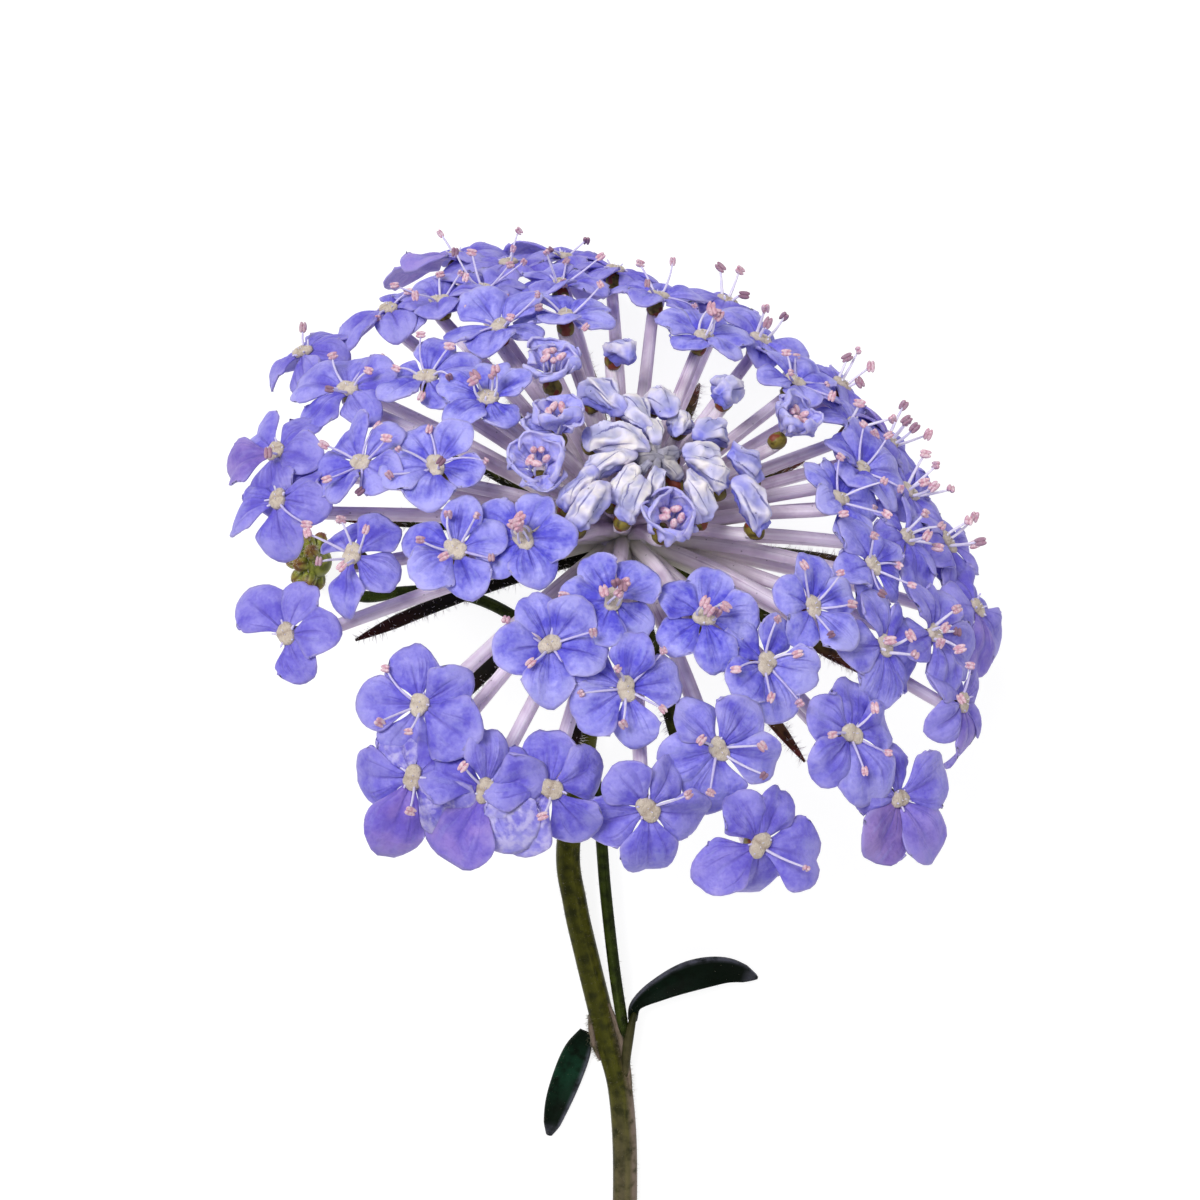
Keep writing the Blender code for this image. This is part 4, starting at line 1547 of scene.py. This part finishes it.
@dataclass
class Buds:
    """Closed buds and half-open florets."""

    layout: Layout
    size: Place = (4.2 * MM, 2.15 * MM, 2.0 * MM)
    tilt: float = math.radians(24)
    tilt_spread: float = 0.10
    edge_depth: float = 0.26
    swerves: Span = (0.5, 1.5)
    notch_places: Span = (0.68, 0.80)
    notch_depths: Span = (0.12, 0.34)
    droop: float = 0.30 * MM
    columns: int = 72
    rows: int = 44
    noise_field: float = 90
    open_sink: float = 0.7 * MM
    open_pitches: Span = (0.3, 1.05)
    open_lengths: Span = (3.1, 3.8)
    open_shades: Span = (1.6, 2.3)
    crumple: float = 0.60 * MM
    closing: float = 0.95 * MM
    open_filament: float = 0.09 * MM
    open_anther: Place = (0.48 * MM, 0.27 * MM, 0.25 * MM)

    def fold(self, points: Array, outward: Array, share: float,
             draw: np.random.Generator) -> Array:
        """Moves the points into a few lengthwise folds with sharp ridges.

        Args:
            points: The points, which are changed.
            outward: The direction away from the bud's middle at each.
            share: Share of full size.
            draw: Seeded draws.

        Returns:
            How deep each point lies between the ridges, from 0 to 1.
        """
        shift = Vector(draw.uniform(0, self.noise_field, 3))
        depths = np.zeros(len(points))
        for n, point in enumerate(points):
            near = Vector(point) / MM / share**0.5
            across = Vector((near.x * 0.42, near.y * 0.78, near.z * 0.78))
            ridge = min(abs(noise.noise(across + shift)), 0.42)
            small = min(abs(noise.noise(near * 1.1 + shift * 2)), 0.3)
            bend = noise.noise_vector(near * 0.42 + shift)
            height = 0.30 - 1.05 * ridge - 0.45 * small
            points[n] += (outward[n] * height + np.array(bend) * 0.30) * MM * share
            depths[n] = min(max(ridge * 3.2 + small * 1.4 - 0.55, 0), 1)
        return depths

    def bud(self, bud: Bud, sketch: Sketch) -> None:
        """Adds one closed bud: five petals folded over each other, its tip towards the axis.

        Args:
            bud: Its place and size.
            sketch: The piece that takes it.
        """
        share = bud.share
        draw = np.random.default_rng([SEED, int(bud.azimuth * 10), int(bud.reach * 10)])
        rest = Matrix.Rotation(self.tilt + draw.normal(0, self.tilt_spread), 4, "Y")
        shell, along, around = ball(self.columns, self.rows)
        x = shell.points[:, 0]
        swell = np.sin(math.pi * along) ** 0.66 * (0.68 + 0.46 * along)
        side = 0.5 + 0.5 * np.cos(around - draw.uniform(0.3, 2.8))
        notch = hump(along - draw.uniform(*self.notch_places), 0.045) * side
        swell *= 1 - draw.uniform(*self.notch_depths) * notch
        swerve = draw.uniform(*self.swerves) * (along - 0.5)
        swerve += 0.35 * np.sin(5 * along + draw.uniform(0, 6))
        place = (around + swerve + draw.uniform(0, 6)) * PETAL_COUNT / FULL_TURN
        within = place - np.floor(place)
        petal = np.minimum(within / 0.10, 1) ** 0.6 * (1 - 0.55 * within)
        petal *= np.sin(math.pi * along) ** 0.5
        across = np.stack([np.cos(around), np.sin(around)], axis=1)
        across *= (swell * (0.88 + self.edge_depth * petal))[:, None]
        half = np.array(self.size) * share / 2
        points = np.stack([x * half[0], across[:, 0] * half[1], across[:, 1] * half[2]], axis=1)
        outward = unit(points / half**2)
        depths = self.fold(points, outward, share, draw)
        points[:, 2] -= self.droop * share * x**2
        shell.points = placed(points, bud.frame(self.layout.dome) @ rest)
        ends = np.maximum(np.clip((0.26 - along) * 3.2, 0, 1), np.clip((along - 0.66) * 3.4, 0, 1))
        # The underside is painted bluer, as shade.
        ends = np.maximum(ends, np.clip(0.25 - outward[:, 2] * 1.1, 0, 1))
        # The crease mark peaks at each petal's edge, where the finish paints a dark line of shade.
        line = np.cos(2 * math.pi * within) * np.sin(math.pi * along) ** 0.25
        # The notch is marked deep, for painted shade like the hollows.
        depths = np.maximum(depths, notch * 0.6)
        age = min(max((bud.reach - 3.0) / 7, 0), 1) * draw.uniform(0.5, 1.0)
        young = min(max((2.6 - bud.reach) / 1.6, 0), 1)
        sketch.add(shell, crease=line, depth=depths, ends=ends, age=age, young=young)

    def half_open(self, azimuth: float, reach: float, petals: Sketch, filaments: Sketch,
                  anthers: Sketch) -> None:
        """Adds a half-open floret: a crumpled cup of petals round its stamens.

        Args:
            azimuth: Angle round the axis in degrees.
            reach: Distance from the axis in mm.
            petals: The piece that takes its petals.
            filaments: The piece that takes its filaments.
            anthers: The piece that takes its anthers.
        """
        draw = np.random.default_rng([SEED, int(azimuth), 77])
        maker = Corollas(self.layout)
        grid = maker.grid()
        spot = self.layout.dome.spot(azimuth, reach, draw.uniform(0, 1))
        spot = spot @ Matrix.Translation((0, 0, -self.open_sink))
        for i in range(PETAL_COUNT):
            pitch = draw.uniform(*self.open_pitches)
            blade, dent = maker.blade(draw.uniform(*self.open_lengths) * MM, pitch, 0.0, draw)
            flat = blade.reshape(-1, 3)
            v = grid["v"][: len(flat)]
            shift = Vector(draw.uniform(0, self.noise_field, 3))
            for n, point in enumerate(flat):
                push = noise.noise_vector(Vector(point) / MM * 0.75 + shift)
                flat[n] += np.array(push) * self.crumple * v[n]
            flat[:, 0] -= self.closing * v**4
            turn = spun(FULL_TURN * i / PETAL_COUNT + draw.normal(0, 0.14))
            shell = thick_sheet(placed(flat.reshape(blade.shape), spot @ turn), maker.thickness)
            petals.add(shell, **grid, shade=draw.uniform(*self.open_shades), blush=0.0, faded=1.0,
                       dent=np.tile(dent.ravel(), 2) * 0.6, outer=0.0)
        t = np.linspace(0, 1, 7)
        line = np.stack([0.5 + 0.7 * t - 0.6 * t**2, 0.2 * t, 1.7 * t], axis=1) * MM
        for i in range(PETAL_COUNT):
            turn = spun(FULL_TURN * (i + 0.5) / PETAL_COUNT + draw.normal(0, 0.2))
            path = placed(line, spot @ turn)
            shell, _, _ = tube(path, np.full(len(t), self.open_filament), 6)
            filaments.add(shell, lying=0.0)
            lobe, _, _ = ball(10, 6)
            lobe.points = placed(lobe.points * np.array(self.open_anther), tossed(path[-1], draw))
            anthers.add(lobe, fresh=0.2, shed=0.0)

    def build(self) -> None:
        """Makes the closed buds and the half-open florets."""
        sketch = Sketch()
        for bud in self.layout.buds() + self.layout.tiny_buds():
            self.bud(bud, sketch)
        sketch.piece("closed_buds", BUDS, "pedicels", "pedicels_and_buds")
        petals = Sketch()
        filaments = Sketch()
        anthers = Sketch()
        for azimuth, reach in self.layout.half_open:
            self.half_open(azimuth, reach, petals, filaments, anthers)
        petals.piece("half_open_petals", PETALS, "petals", "pedicels_and_buds")
        filaments.piece("half_open_filaments", FILAMENTS, "petals", "pedicels_and_buds")
        anthers.piece("half_open_anthers", ANTHERS, "petals", "pedicels_and_buds")


# Green parts


@dataclass(frozen=True)
class Fur:
    """Short hairs: how many are tried, their usual length and their radius at the root."""

    count: int
    length: float
    radius: float

    def grow(self, shell: Shell, draw: np.random.Generator, sketch: Sketch,
             lean: Sequence[float] = (0, 0, 0), mark: Array | None = None) -> None:
        """Adds hairs that stand out of a shell.

        Args:
            shell: The shell that they grow on.
            draw: Seeded draws.
            sketch: The piece that takes them.
            lean: A direction in which they all lean a little.
            mark: The share of hairs that stay at each of the shell's points, or None for all.
        """
        chosen = shell.quads[draw.integers(0, len(shell.quads), self.count)]
        weights = draw.dirichlet(np.ones(4), self.count)
        corners = shell.points[chosen]
        roots = (corners * weights[..., None]).sum(axis=1)
        normals = unit(np.cross(corners[:, 2] - corners[:, 0], corners[:, 3] - corners[:, 1]))
        if ((roots - shell.points.mean(axis=0)) * normals).sum() < 0:
            normals = -normals
        if mark is not None:
            keep = mark[chosen[:, 0]] > draw.random(self.count)
            roots, normals = roots[keep], normals[keep]
        total = len(roots)
        reach = self.length * draw.uniform(0.5, 1.15, (total, 1))
        aside = draw.normal(0, 0.28, (total, 3)) + np.array(lean)
        tips = kept_above(roots + (normals + aside) * reach, 0.03 * MM)
        sag = draw.normal(0, 0.06, (total, 3)) * reach
        sketch.add(hairs(roots - normals * self.radius, tips, self.radius, sag))


@dataclass
class Involucre:
    """The collar and the linear bracts, with their hairs."""

    layout: Layout
    count: int = 13
    first: float = 2.5
    length: float = 21.5 * MM
    fall: float = 2.4 * MM
    level: float = -1.15 * MM
    radius: float = 0.72 * MM
    tip_radius: float = 0.48 * MM
    sides: int = 14
    squash: float = 0.62
    tip_shares: tuple[float, ...] = (0.9, 0.72, 0.5, 0.2)
    bend_spread: float = 0.6 * MM
    bends: Mapping[int, float] = field(default_factory=lambda: {8: 1.3 * MM})
    dark: tuple[int, ...] = (8, 9, 10)
    fur: Fur = Fur(1100, 0.55 * MM, 0.018 * MM)
    collar_profile: tuple[Span, ...] = (
        (-1.58, 1.9), (-1.5, 2.2), (-1.2, 2.5), (-0.8, 2.7), (-0.62, 2.5),
    )

    def bract(self, i: int, bracts: Sketch, down: Sketch) -> None:
        """Adds one bract: a narrow channelled blade with hairs on its edges.

        Args:
            i: Which bract.
            bracts: The piece that takes the blade.
            down: The piece that takes its hairs.
        """
        draw = np.random.default_rng([SEED, i, 5])
        around = spun(math.radians(self.first + 360 * i / self.count))
        frame_of = self.layout.dome.matrix() @ around
        share = np.linspace(0.05, 1.0, 26)
        bend = self.bends.get(i, draw.normal(0, self.bend_spread))
        line = [self.length * share, bend * share**2, self.level - self.fall * share**2]
        path = placed(np.stack(line, axis=1), frame_of)
        radii = self.radius + (self.tip_radius - self.radius) * share**1.5
        radii[-len(self.tip_shares) :] *= np.array(self.tip_shares)
        side = frame_of.to_3x3() @ Vector((0, 1, 0))
        shell, along, turn = tube(path, radii, self.sides, squash=self.squash, side=side)
        edge = np.abs(np.cos(turn)) ** 4
        red = np.clip((along - 0.72) * 4, 0, 1) * (0.35 if i in self.dark else 1.0)
        band = np.full(len(edge), 1.3) if i in self.dark else edge * 1.3
        bracts.add(shell, along=along, turn=turn, band=band, pale=0.0, down=red)
        lean = frame_of.to_3x3() @ Vector((0.25, 0, 0))
        self.fur.grow(shell, draw, down, lean, 0.3 + 0.7 * edge)

    def build(self) -> None:
        """Makes the bracts with their collar, and the hairs."""
        bracts = Sketch()
        down = Sketch()
        shell, along, turn = self.layout.dome.collar(self.collar_profile, 0.04)
        bracts.add(shell, along=along, turn=turn, band=0.2, pale=0.3, down=0.2)
        for i in range(self.count):
            self.bract(i, bracts, down)
        bracts.piece("bracts", BRACT_GREEN, "bracts", "involucre")
        down.piece("bract_hairs", HAIRS, "bracts", "involucre")


@dataclass
class Stems:
    """The main stem with its cut end, and the side stem."""

    layout: Layout
    radius: float = 1.05 * MM
    top_radius: float = 1.0 * MM
    side_radius: float = 0.48 * MM
    sides: int = 32
    ribs: int = 9
    side_sides: int = 20
    side_ribs: int = 7
    cut_rings: tuple[float, ...] = (0.96, 0.8, 0.74, 0.45, 0.15)
    cut_step: float = 0.02 * MM
    fur: Fur = Fur(2600, 0.22 * MM, 0.007 * MM)
    sheath_fur: Fur = Fur(700, 0.32 * MM, 0.010 * MM)
    side_fur: Fur = Fur(1300, 0.2 * MM, 0.008 * MM)
    route: tuple[Place, ...] = (
        (-2.0, 29.4, 15.4), (-2.6, 23.4, 10.6), (-3.4, 16.1, 6.6), (-4.8, 7.0, 2.9),
        (-4.25, 2.0, 1.7), (-3.2, -2.8, 1.1), (-1.5, -9.7, 0.98), (-0.28, -14.8, 0.98),
        (0.05, -23.4, 0.98), (-0.6, -40.0, 0.98), (-1.8, -59.0, 0.98),
    )
    side_route: tuple[Place, ...] = (
        (0.05, -9.4, 2.15), (-0.35, -7.0, 2.0), (-0.9, -3.3, 1.9), (-1.65, 3.4, 1.9),
        (-2.4, 12.0, 1.8), (-4.0, 19.4, 1.8), (-6.5, 24.2, 1.9), (-10.7, 27.3, 2.1),
        (-14.9, 28.7, 2.4), (-18.8, 28.7, 2.6), (-22.2, 28.3, 2.8), (-24.8, 29.4, 2.9),
    )
    sheath_right: tuple[Place, ...] = (
        (-1.35, -6.6, 1.6), (-0.62, -8.6, 1.75), (-0.1, -10.4, 1.7), (0.34, -12.6, 1.45),
        (0.62, -15.4, 1.2),
    )
    sheath_left: tuple[Place, ...] = (
        (-3.0, -7.6, 1.2), (-2.86, -8.9, 1.3), (-2.62, -10.2, 1.25), (-2.1, -11.6, 1.1),
    )
    petiole: tuple[Place, ...] = (
        (0.86, -7.2, 2.3), (0.58, -8.3, 2.3), (0.34, -9.5, 2.25), (0.16, -10.9, 2.1),
        (0.10, -12.4, 1.6), (0.10, -13.2, 1.2),
    )

    def main_stem(self, down: Sketch) -> None:
        """Makes the main stem with its sheaths and a petiole, and a cut end with paler pith.

        Args:
            down: The piece that takes its hairs.
        """
        top = self.layout.dome.matrix() @ Vector((0, 0, -1.9 * MM))
        path = smooth_path([top, *(np.array(self.route) * MM)], 9)
        cut = unit(path[-1] - path[-2]) * self.cut_step
        whole = len(path)
        rings = len(self.cut_rings)
        radii = self.top_radius + (self.radius - self.top_radius) * np.linspace(0, 1, whole)
        radii = np.concatenate([radii, self.radius * np.array(self.cut_rings)])
        path = np.concatenate([path, [path[-1] + cut * (n + 1) for n in range(rings)]])
        shell, along, turn = tube(path, radii, self.sides, ribs=self.ribs, rib_height=0.025)
        shell.points = kept_above(shell.points, 0.0)
        ring = np.append(np.repeat(np.arange(len(path)), self.sides), [0, len(path) - 1])
        pith = np.where(ring >= whole + 2, 1.0, 0.0)
        line = path[np.minimum(ring, whole - 1)]
        rightward = (shell.points - line)[:, 0] / self.radius
        band = np.clip(1 - np.abs(rightward + 0.30) * 1.6, 0, 1) * (1 - pith)
        low = np.clip((line[:, 1] / MM + 6) / -10, 0, 1)
        hoary = np.clip(rightward * 2.6 - 1.0, 0, 1) * low + low * np.clip(along * 3 - 2.0, 0, 0.6)
        sketch = Sketch()
        sketch.add(shell, along=along * 6, turn=turn, band=band * 0.8, pale=pith,
                   down=np.clip(hoary, 0, 1) * (1 - pith))
        draw = np.random.default_rng([SEED, 31])
        self.fur.grow(shell, draw, down, (0, -0.2, 0), 1 - pith)
        for route, girth in ((self.sheath_right, 0.42), (self.sheath_left, 0.36)):
            spine = smooth_path(np.array(route) * MM, 9)
            widths = np.sin(math.pi * np.linspace(0.04, 0.97, len(spine))) ** 0.6 * girth * MM
            sheath, along, turn = tube(spine, widths, 16, squash=0.7)
            sketch.add(sheath, along=along, turn=turn, band=0.0, pale=0.15, down=1.0)
            self.sheath_fur.grow(sheath, draw, down, (0, -0.1, 0.1))
        spine = smooth_path(np.array(self.petiole) * MM, 7)
        share = np.linspace(0, 1, len(spine))
        widths = (0.22 + 0.30 * np.sin(math.pi * np.minimum(share * 1.1, 1)) ** 0.8) * MM
        stalk, along, turn = tube(spine, widths, 16, squash=0.8)
        sketch.add(stalk, along=along, turn=turn, band=1.3 - along, pale=0.0, down=along * 0.3)
        sketch.piece("main_stem_skin", STEM_GREEN, "main_stem", "main_stem")

    def side_stem(self, down: Sketch) -> None:
        """Makes the thin side stem.

        Args:
            down: The piece that takes its hairs.
        """
        path = smooth_path(np.array(self.side_route) * MM, 9)
        radii = self.side_radius * (1.05 - 0.75 * np.exp(-np.linspace(0, 40, len(path))))
        shell, along, turn = tube(
            path, radii, self.side_sides, ribs=self.side_ribs, rib_height=0.03,
        )
        band = np.clip(np.cos(turn - 1.1), 0, 1) ** 2
        sketch = Sketch()
        sketch.add(shell, along=along * 4, turn=turn, band=band, pale=0.0, down=0.0)
        sketch.piece("side_stem_skin", SIDE_GREEN, "side_stem", "side_stem")
        self.side_fur.grow(shell, np.random.default_rng([SEED, 32]), down)

    def build(self) -> None:
        """Makes both stems and their hairs."""
        down = Sketch()
        side_down = Sketch()
        self.main_stem(down)
        self.side_stem(side_down)
        down.piece("main_stem_hairs", STEM_HAIRS, "main_stem", "main_stem")
        side_down.piece("side_stem_hairs", STEM_HAIRS, "side_stem", "side_stem")


@dataclass
class YoungUmbel:
    """The young green umbel under the left rim of the head."""

    middle: Place = (-26.4 * MM, 31.3 * MM, 2.55 * MM)
    buds: int = 12
    bud_size: Place = (1.9 * MM, 1.35 * MM, 1.3 * MM)
    bud_grid: tuple[int, int] = (20, 12)
    hub_grid: tuple[int, int] = (24, 13)
    hub_radius: float = 1.45 * MM
    spread: float = 1.7 * MM
    opening: float = 0.62
    golden_turn: float = math.pi * (3 - math.sqrt(5))
    fur: Fur = Fur(60, 0.35 * MM, 0.015 * MM)

    def build(self) -> None:
        """Makes the hub with its buds, and their hairs."""
        sketch = Sketch()
        down = Sketch()
        place = Matrix.Translation(self.middle)
        draw = np.random.default_rng([SEED, 61])
        hub, _, _ = ball(*self.hub_grid)
        hub.points = placed(hub.points * self.hub_radius, place)
        # The hub is marked partly dark: painted shade under the buds.
        sketch.add(hub, fold=0.4, tip=0.0)
        for i in range(self.buds):
            shell, along, around = ball(*self.bud_grid)
            fold = np.abs(np.cos(PETAL_COUNT / 2 * around)) ** 0.6
            half = np.array(self.bud_size) / 2 * (1 if i % 3 else 1.08)
            points = shell.points * half * (0.86 + 0.16 * fold)[:, None]
            open_angle = math.acos(1 - 2 * self.opening * (i + 0.5) / self.buds)
            roll = Matrix.Rotation(self.golden_turn * i, 4, "X")
            turn = Matrix.Rotation(math.pi - open_angle, 4, "Y")
            out = Matrix.Translation((self.spread, 0, 0))
            shell.points = kept_above(placed(points, place @ roll @ turn @ out), 0.05 * MM)
            red = np.clip(along * 3.2 - 1.5, 0, 1) * draw.uniform(0.6, 1.0)
            # The valleys between the lobes are marked for painted shade.
            sketch.add(shell, fold=np.clip(1 - 2.4 * fold, 0, 1), tip=red)
            self.fur.grow(shell, draw, down)
        sketch.piece("young_buds", YOUNG, "young_buds", "young_umbel")
        down.piece("young_bud_hairs", HAIRS, "young_buds", "young_umbel")


@dataclass
class Leaves:
    """The two leaves at the node: stations of the middle line and half width, in mm."""

    thickness: float = 0.42 * MM
    least_half_width: float = 0.12
    clearance: float = 0.02 * MM
    tip_shares: tuple[float, ...] = (0.86, 0.62, 0.25)
    steps: int = 8
    columns: int = 13
    fur: Fur = Fur(700, 0.16 * MM, 0.007 * MM)
    sheen: Mapping[str, float] = field(
        default_factory=lambda: {"leaf_right": 0.15, "leaf_left": 0.95}
    )
    right: tuple[tuple[Place, float], ...] = (
        ((0.66, -8.1, 2.0), 0.25), ((1.0, -6.6, 2.6), 0.4), ((2.7, -5.25, 3.1), 0.8),
        ((5.6, -3.95, 3.2), 1.15), ((8.6, -3.65, 2.5), 1.0), ((11.5, -4.6, 0.7), 0.4),
    )
    left: tuple[tuple[Place, float], ...] = (
        ((-3.3, -9.2, 1.4), 0.45), ((-4.05, -10.9, 0.9), 1.0), ((-4.9, -13.1, 0.6), 1.1),
        ((-5.8, -15.6, 0.6), 0.9), ((-6.5, -18.2, 0.6), 0.35),
    )

    def leaf(self, name: str, stations: Sequence[tuple[Place, float]]) -> None:
        """Makes one leaf and its hairs: a channelled blade, tapering to both ends.

        Args:
            name: Name of the node that it stands for.
            stations: Its middle line and half width.
        """
        line = smooth_path([(*point, half) for point, half in stations], self.steps)
        middle = line[:, :3] * MM
        half = np.maximum(line[:, 3], self.least_half_width) * MM
        half[-len(self.tip_shares) :] *= np.array(self.tip_shares)
        along = np.gradient(middle, axis=0)
        across = unit(np.stack([-along[:, 1], along[:, 0], 0 * along[:, 0]], axis=1))
        u = np.linspace(-1, 1, self.columns)
        top = middle[:, None, :] + across[:, None, :] * (half[:, None] * u)[..., None]
        top[..., 2] += half[:, None] * (0.24 * u**2 - 0.05 * hump(u, 0.22)) + self.clearance
        shell = thick_sheet(top, self.thickness)
        shell.points = kept_above(shell.points, self.clearance)
        v = np.repeat(np.linspace(0, 1, len(middle)), self.columns)
        turn = np.tile(u, len(middle))
        edge = np.clip(turn * 5 - 3.9, 0, 1) * np.clip(v * 6 - 0.6, 0, 1)
        # The blade is darkened all over except for a band across its middle: a painted sheen.
        dark = 1 - hump(v - 0.45, 0.24) * self.sheen[name]
        marks = {"along": v * 3, "turn": turn * 2, "band": dark * 1.3, "pale": 0 * v,
                 "down": np.maximum(edge * 0.8, np.clip(v * 8 - 7.2, 0, 0.5))}
        sketch = Sketch()
        sketch.add(shell, **{mark: np.tile(values, 2) for mark, values in marks.items()})
        sketch.piece(f"{name}_blade", LEAF_GREEN, "leaves", name)
        down = Sketch()
        draw = np.random.default_rng([SEED, len(name)])
        self.fur.grow(shell, draw, down, mark=0.1 + 0.9 * np.tile(np.abs(turn) ** 8, 2))
        down.piece(f"{name}_hairs", STEM_HAIRS, "leaves", name)

    def build(self) -> None:
        """Makes both leaves."""
        self.leaf("leaf_right", self.right)
        self.leaf("leaf_left", self.left)


# Studio


@dataclass(frozen=True)
class Studio:
    """Floor, light and camera. Each light has its name, its place, its size and its power."""

    camera_at: Place = (-0.0021, 0.028, 0.1688)
    lens: float = 58.5
    sensor: float = 36
    nearest: float = 0.01
    aim: Place = (0, 0.03, 0.01)
    sky_strength: float = 0.30
    floor_size: float = 1.2
    floor_gap: float = 0.04 * MM
    floor_roughness: float = 0.9
    floor_tone: Colour = tone(130, 130, 130)
    floor_light: Colour = tone(255, 255, 255)
    floor_glow: float = 0.88
    lights: tuple[tuple[str, Place, float, float], ...] = (
        ("key", (-0.30, 0.30, 0.75), 0.35, 5.9), ("fill", (0.5, -0.3, 0.7), 0.7, 1.8),
    )

    def floor(self) -> None:
        """Makes the plain pale floor."""
        mesh = bpy.data.meshes.new("floor")
        half = self.floor_size / 2
        corners = [(-half, -half), (half, -half), (half, half), (-half, half)]
        mesh.from_pydata([(x, y, -self.floor_gap) for x, y in corners], [], [(0, 1, 2, 3)])
        floor = bpy.data.objects.new("floor", mesh)
        bpy.context.scene.collection.objects.link(floor)
        material = bpy.data.materials.new("floor_white")
        Wires(material).shade({
            "Base Color": self.floor_tone,
            "Roughness": self.floor_roughness,
            "Specular IOR Level": 0.0,
            "Emission Color": self.floor_light,
            "Emission Strength": self.floor_glow,
        })
        mesh.materials.append(material)

    def light(self, name: str, place: Place, size: float, power: float) -> None:
        """Adds an area light that shines on the head.

        Args:
            name: Name of the light.
            place: Where it stands.
            size: Length of its sides.
            power: Its power in watts.
        """
        data = bpy.data.lights.new(name, "AREA")
        data.size = size
        data.energy = power
        lamp = bpy.data.objects.new(name, data)
        lamp.location = place
        ray = Vector(self.aim) - Vector(place)
        lamp.rotation_euler = ray.to_track_quat("-Z", "Y").to_euler()
        bpy.context.scene.collection.objects.link(lamp)

    def build(self) -> None:
        """Sets the stage."""
        self.floor()
        for lamp in self.lights:
            self.light(*lamp)
        world = bpy.data.worlds.new("sky")
        world.use_nodes = True
        backdrop = world.node_tree.nodes["Background"]
        backdrop.inputs["Color"].default_value = (1, 1, 1, 1)
        backdrop.inputs["Strength"].default_value = self.sky_strength
        scene = bpy.context.scene
        scene.world = world
        scene.view_settings.view_transform = "Standard"
        data = bpy.data.cameras.new("camera")
        data.lens = self.lens
        data.sensor_width = self.sensor
        data.clip_start = self.nearest
        camera = bpy.data.objects.new("camera", data)
        camera.location = self.camera_at
        scene.collection.objects.link(camera)
        scene.camera = camera


def main() -> None:
    """Builds the flower and the stage."""
    logging.basicConfig(level=logging.INFO, format="%(message)s")
    noise.seed_set(SEED)
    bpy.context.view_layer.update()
    layout = Layout()
    Studio().build()
    Corollas(layout).build()
    FloretCentres(layout).build()
    Stalks(layout).build()
    Buds(layout).build()
    Involucre(layout).build()
    Stems(layout).build()
    YoungUmbel().build()
    Leaves().build()
    bpy.context.view_layer.update()


if __name__ == "__main__":
    main()
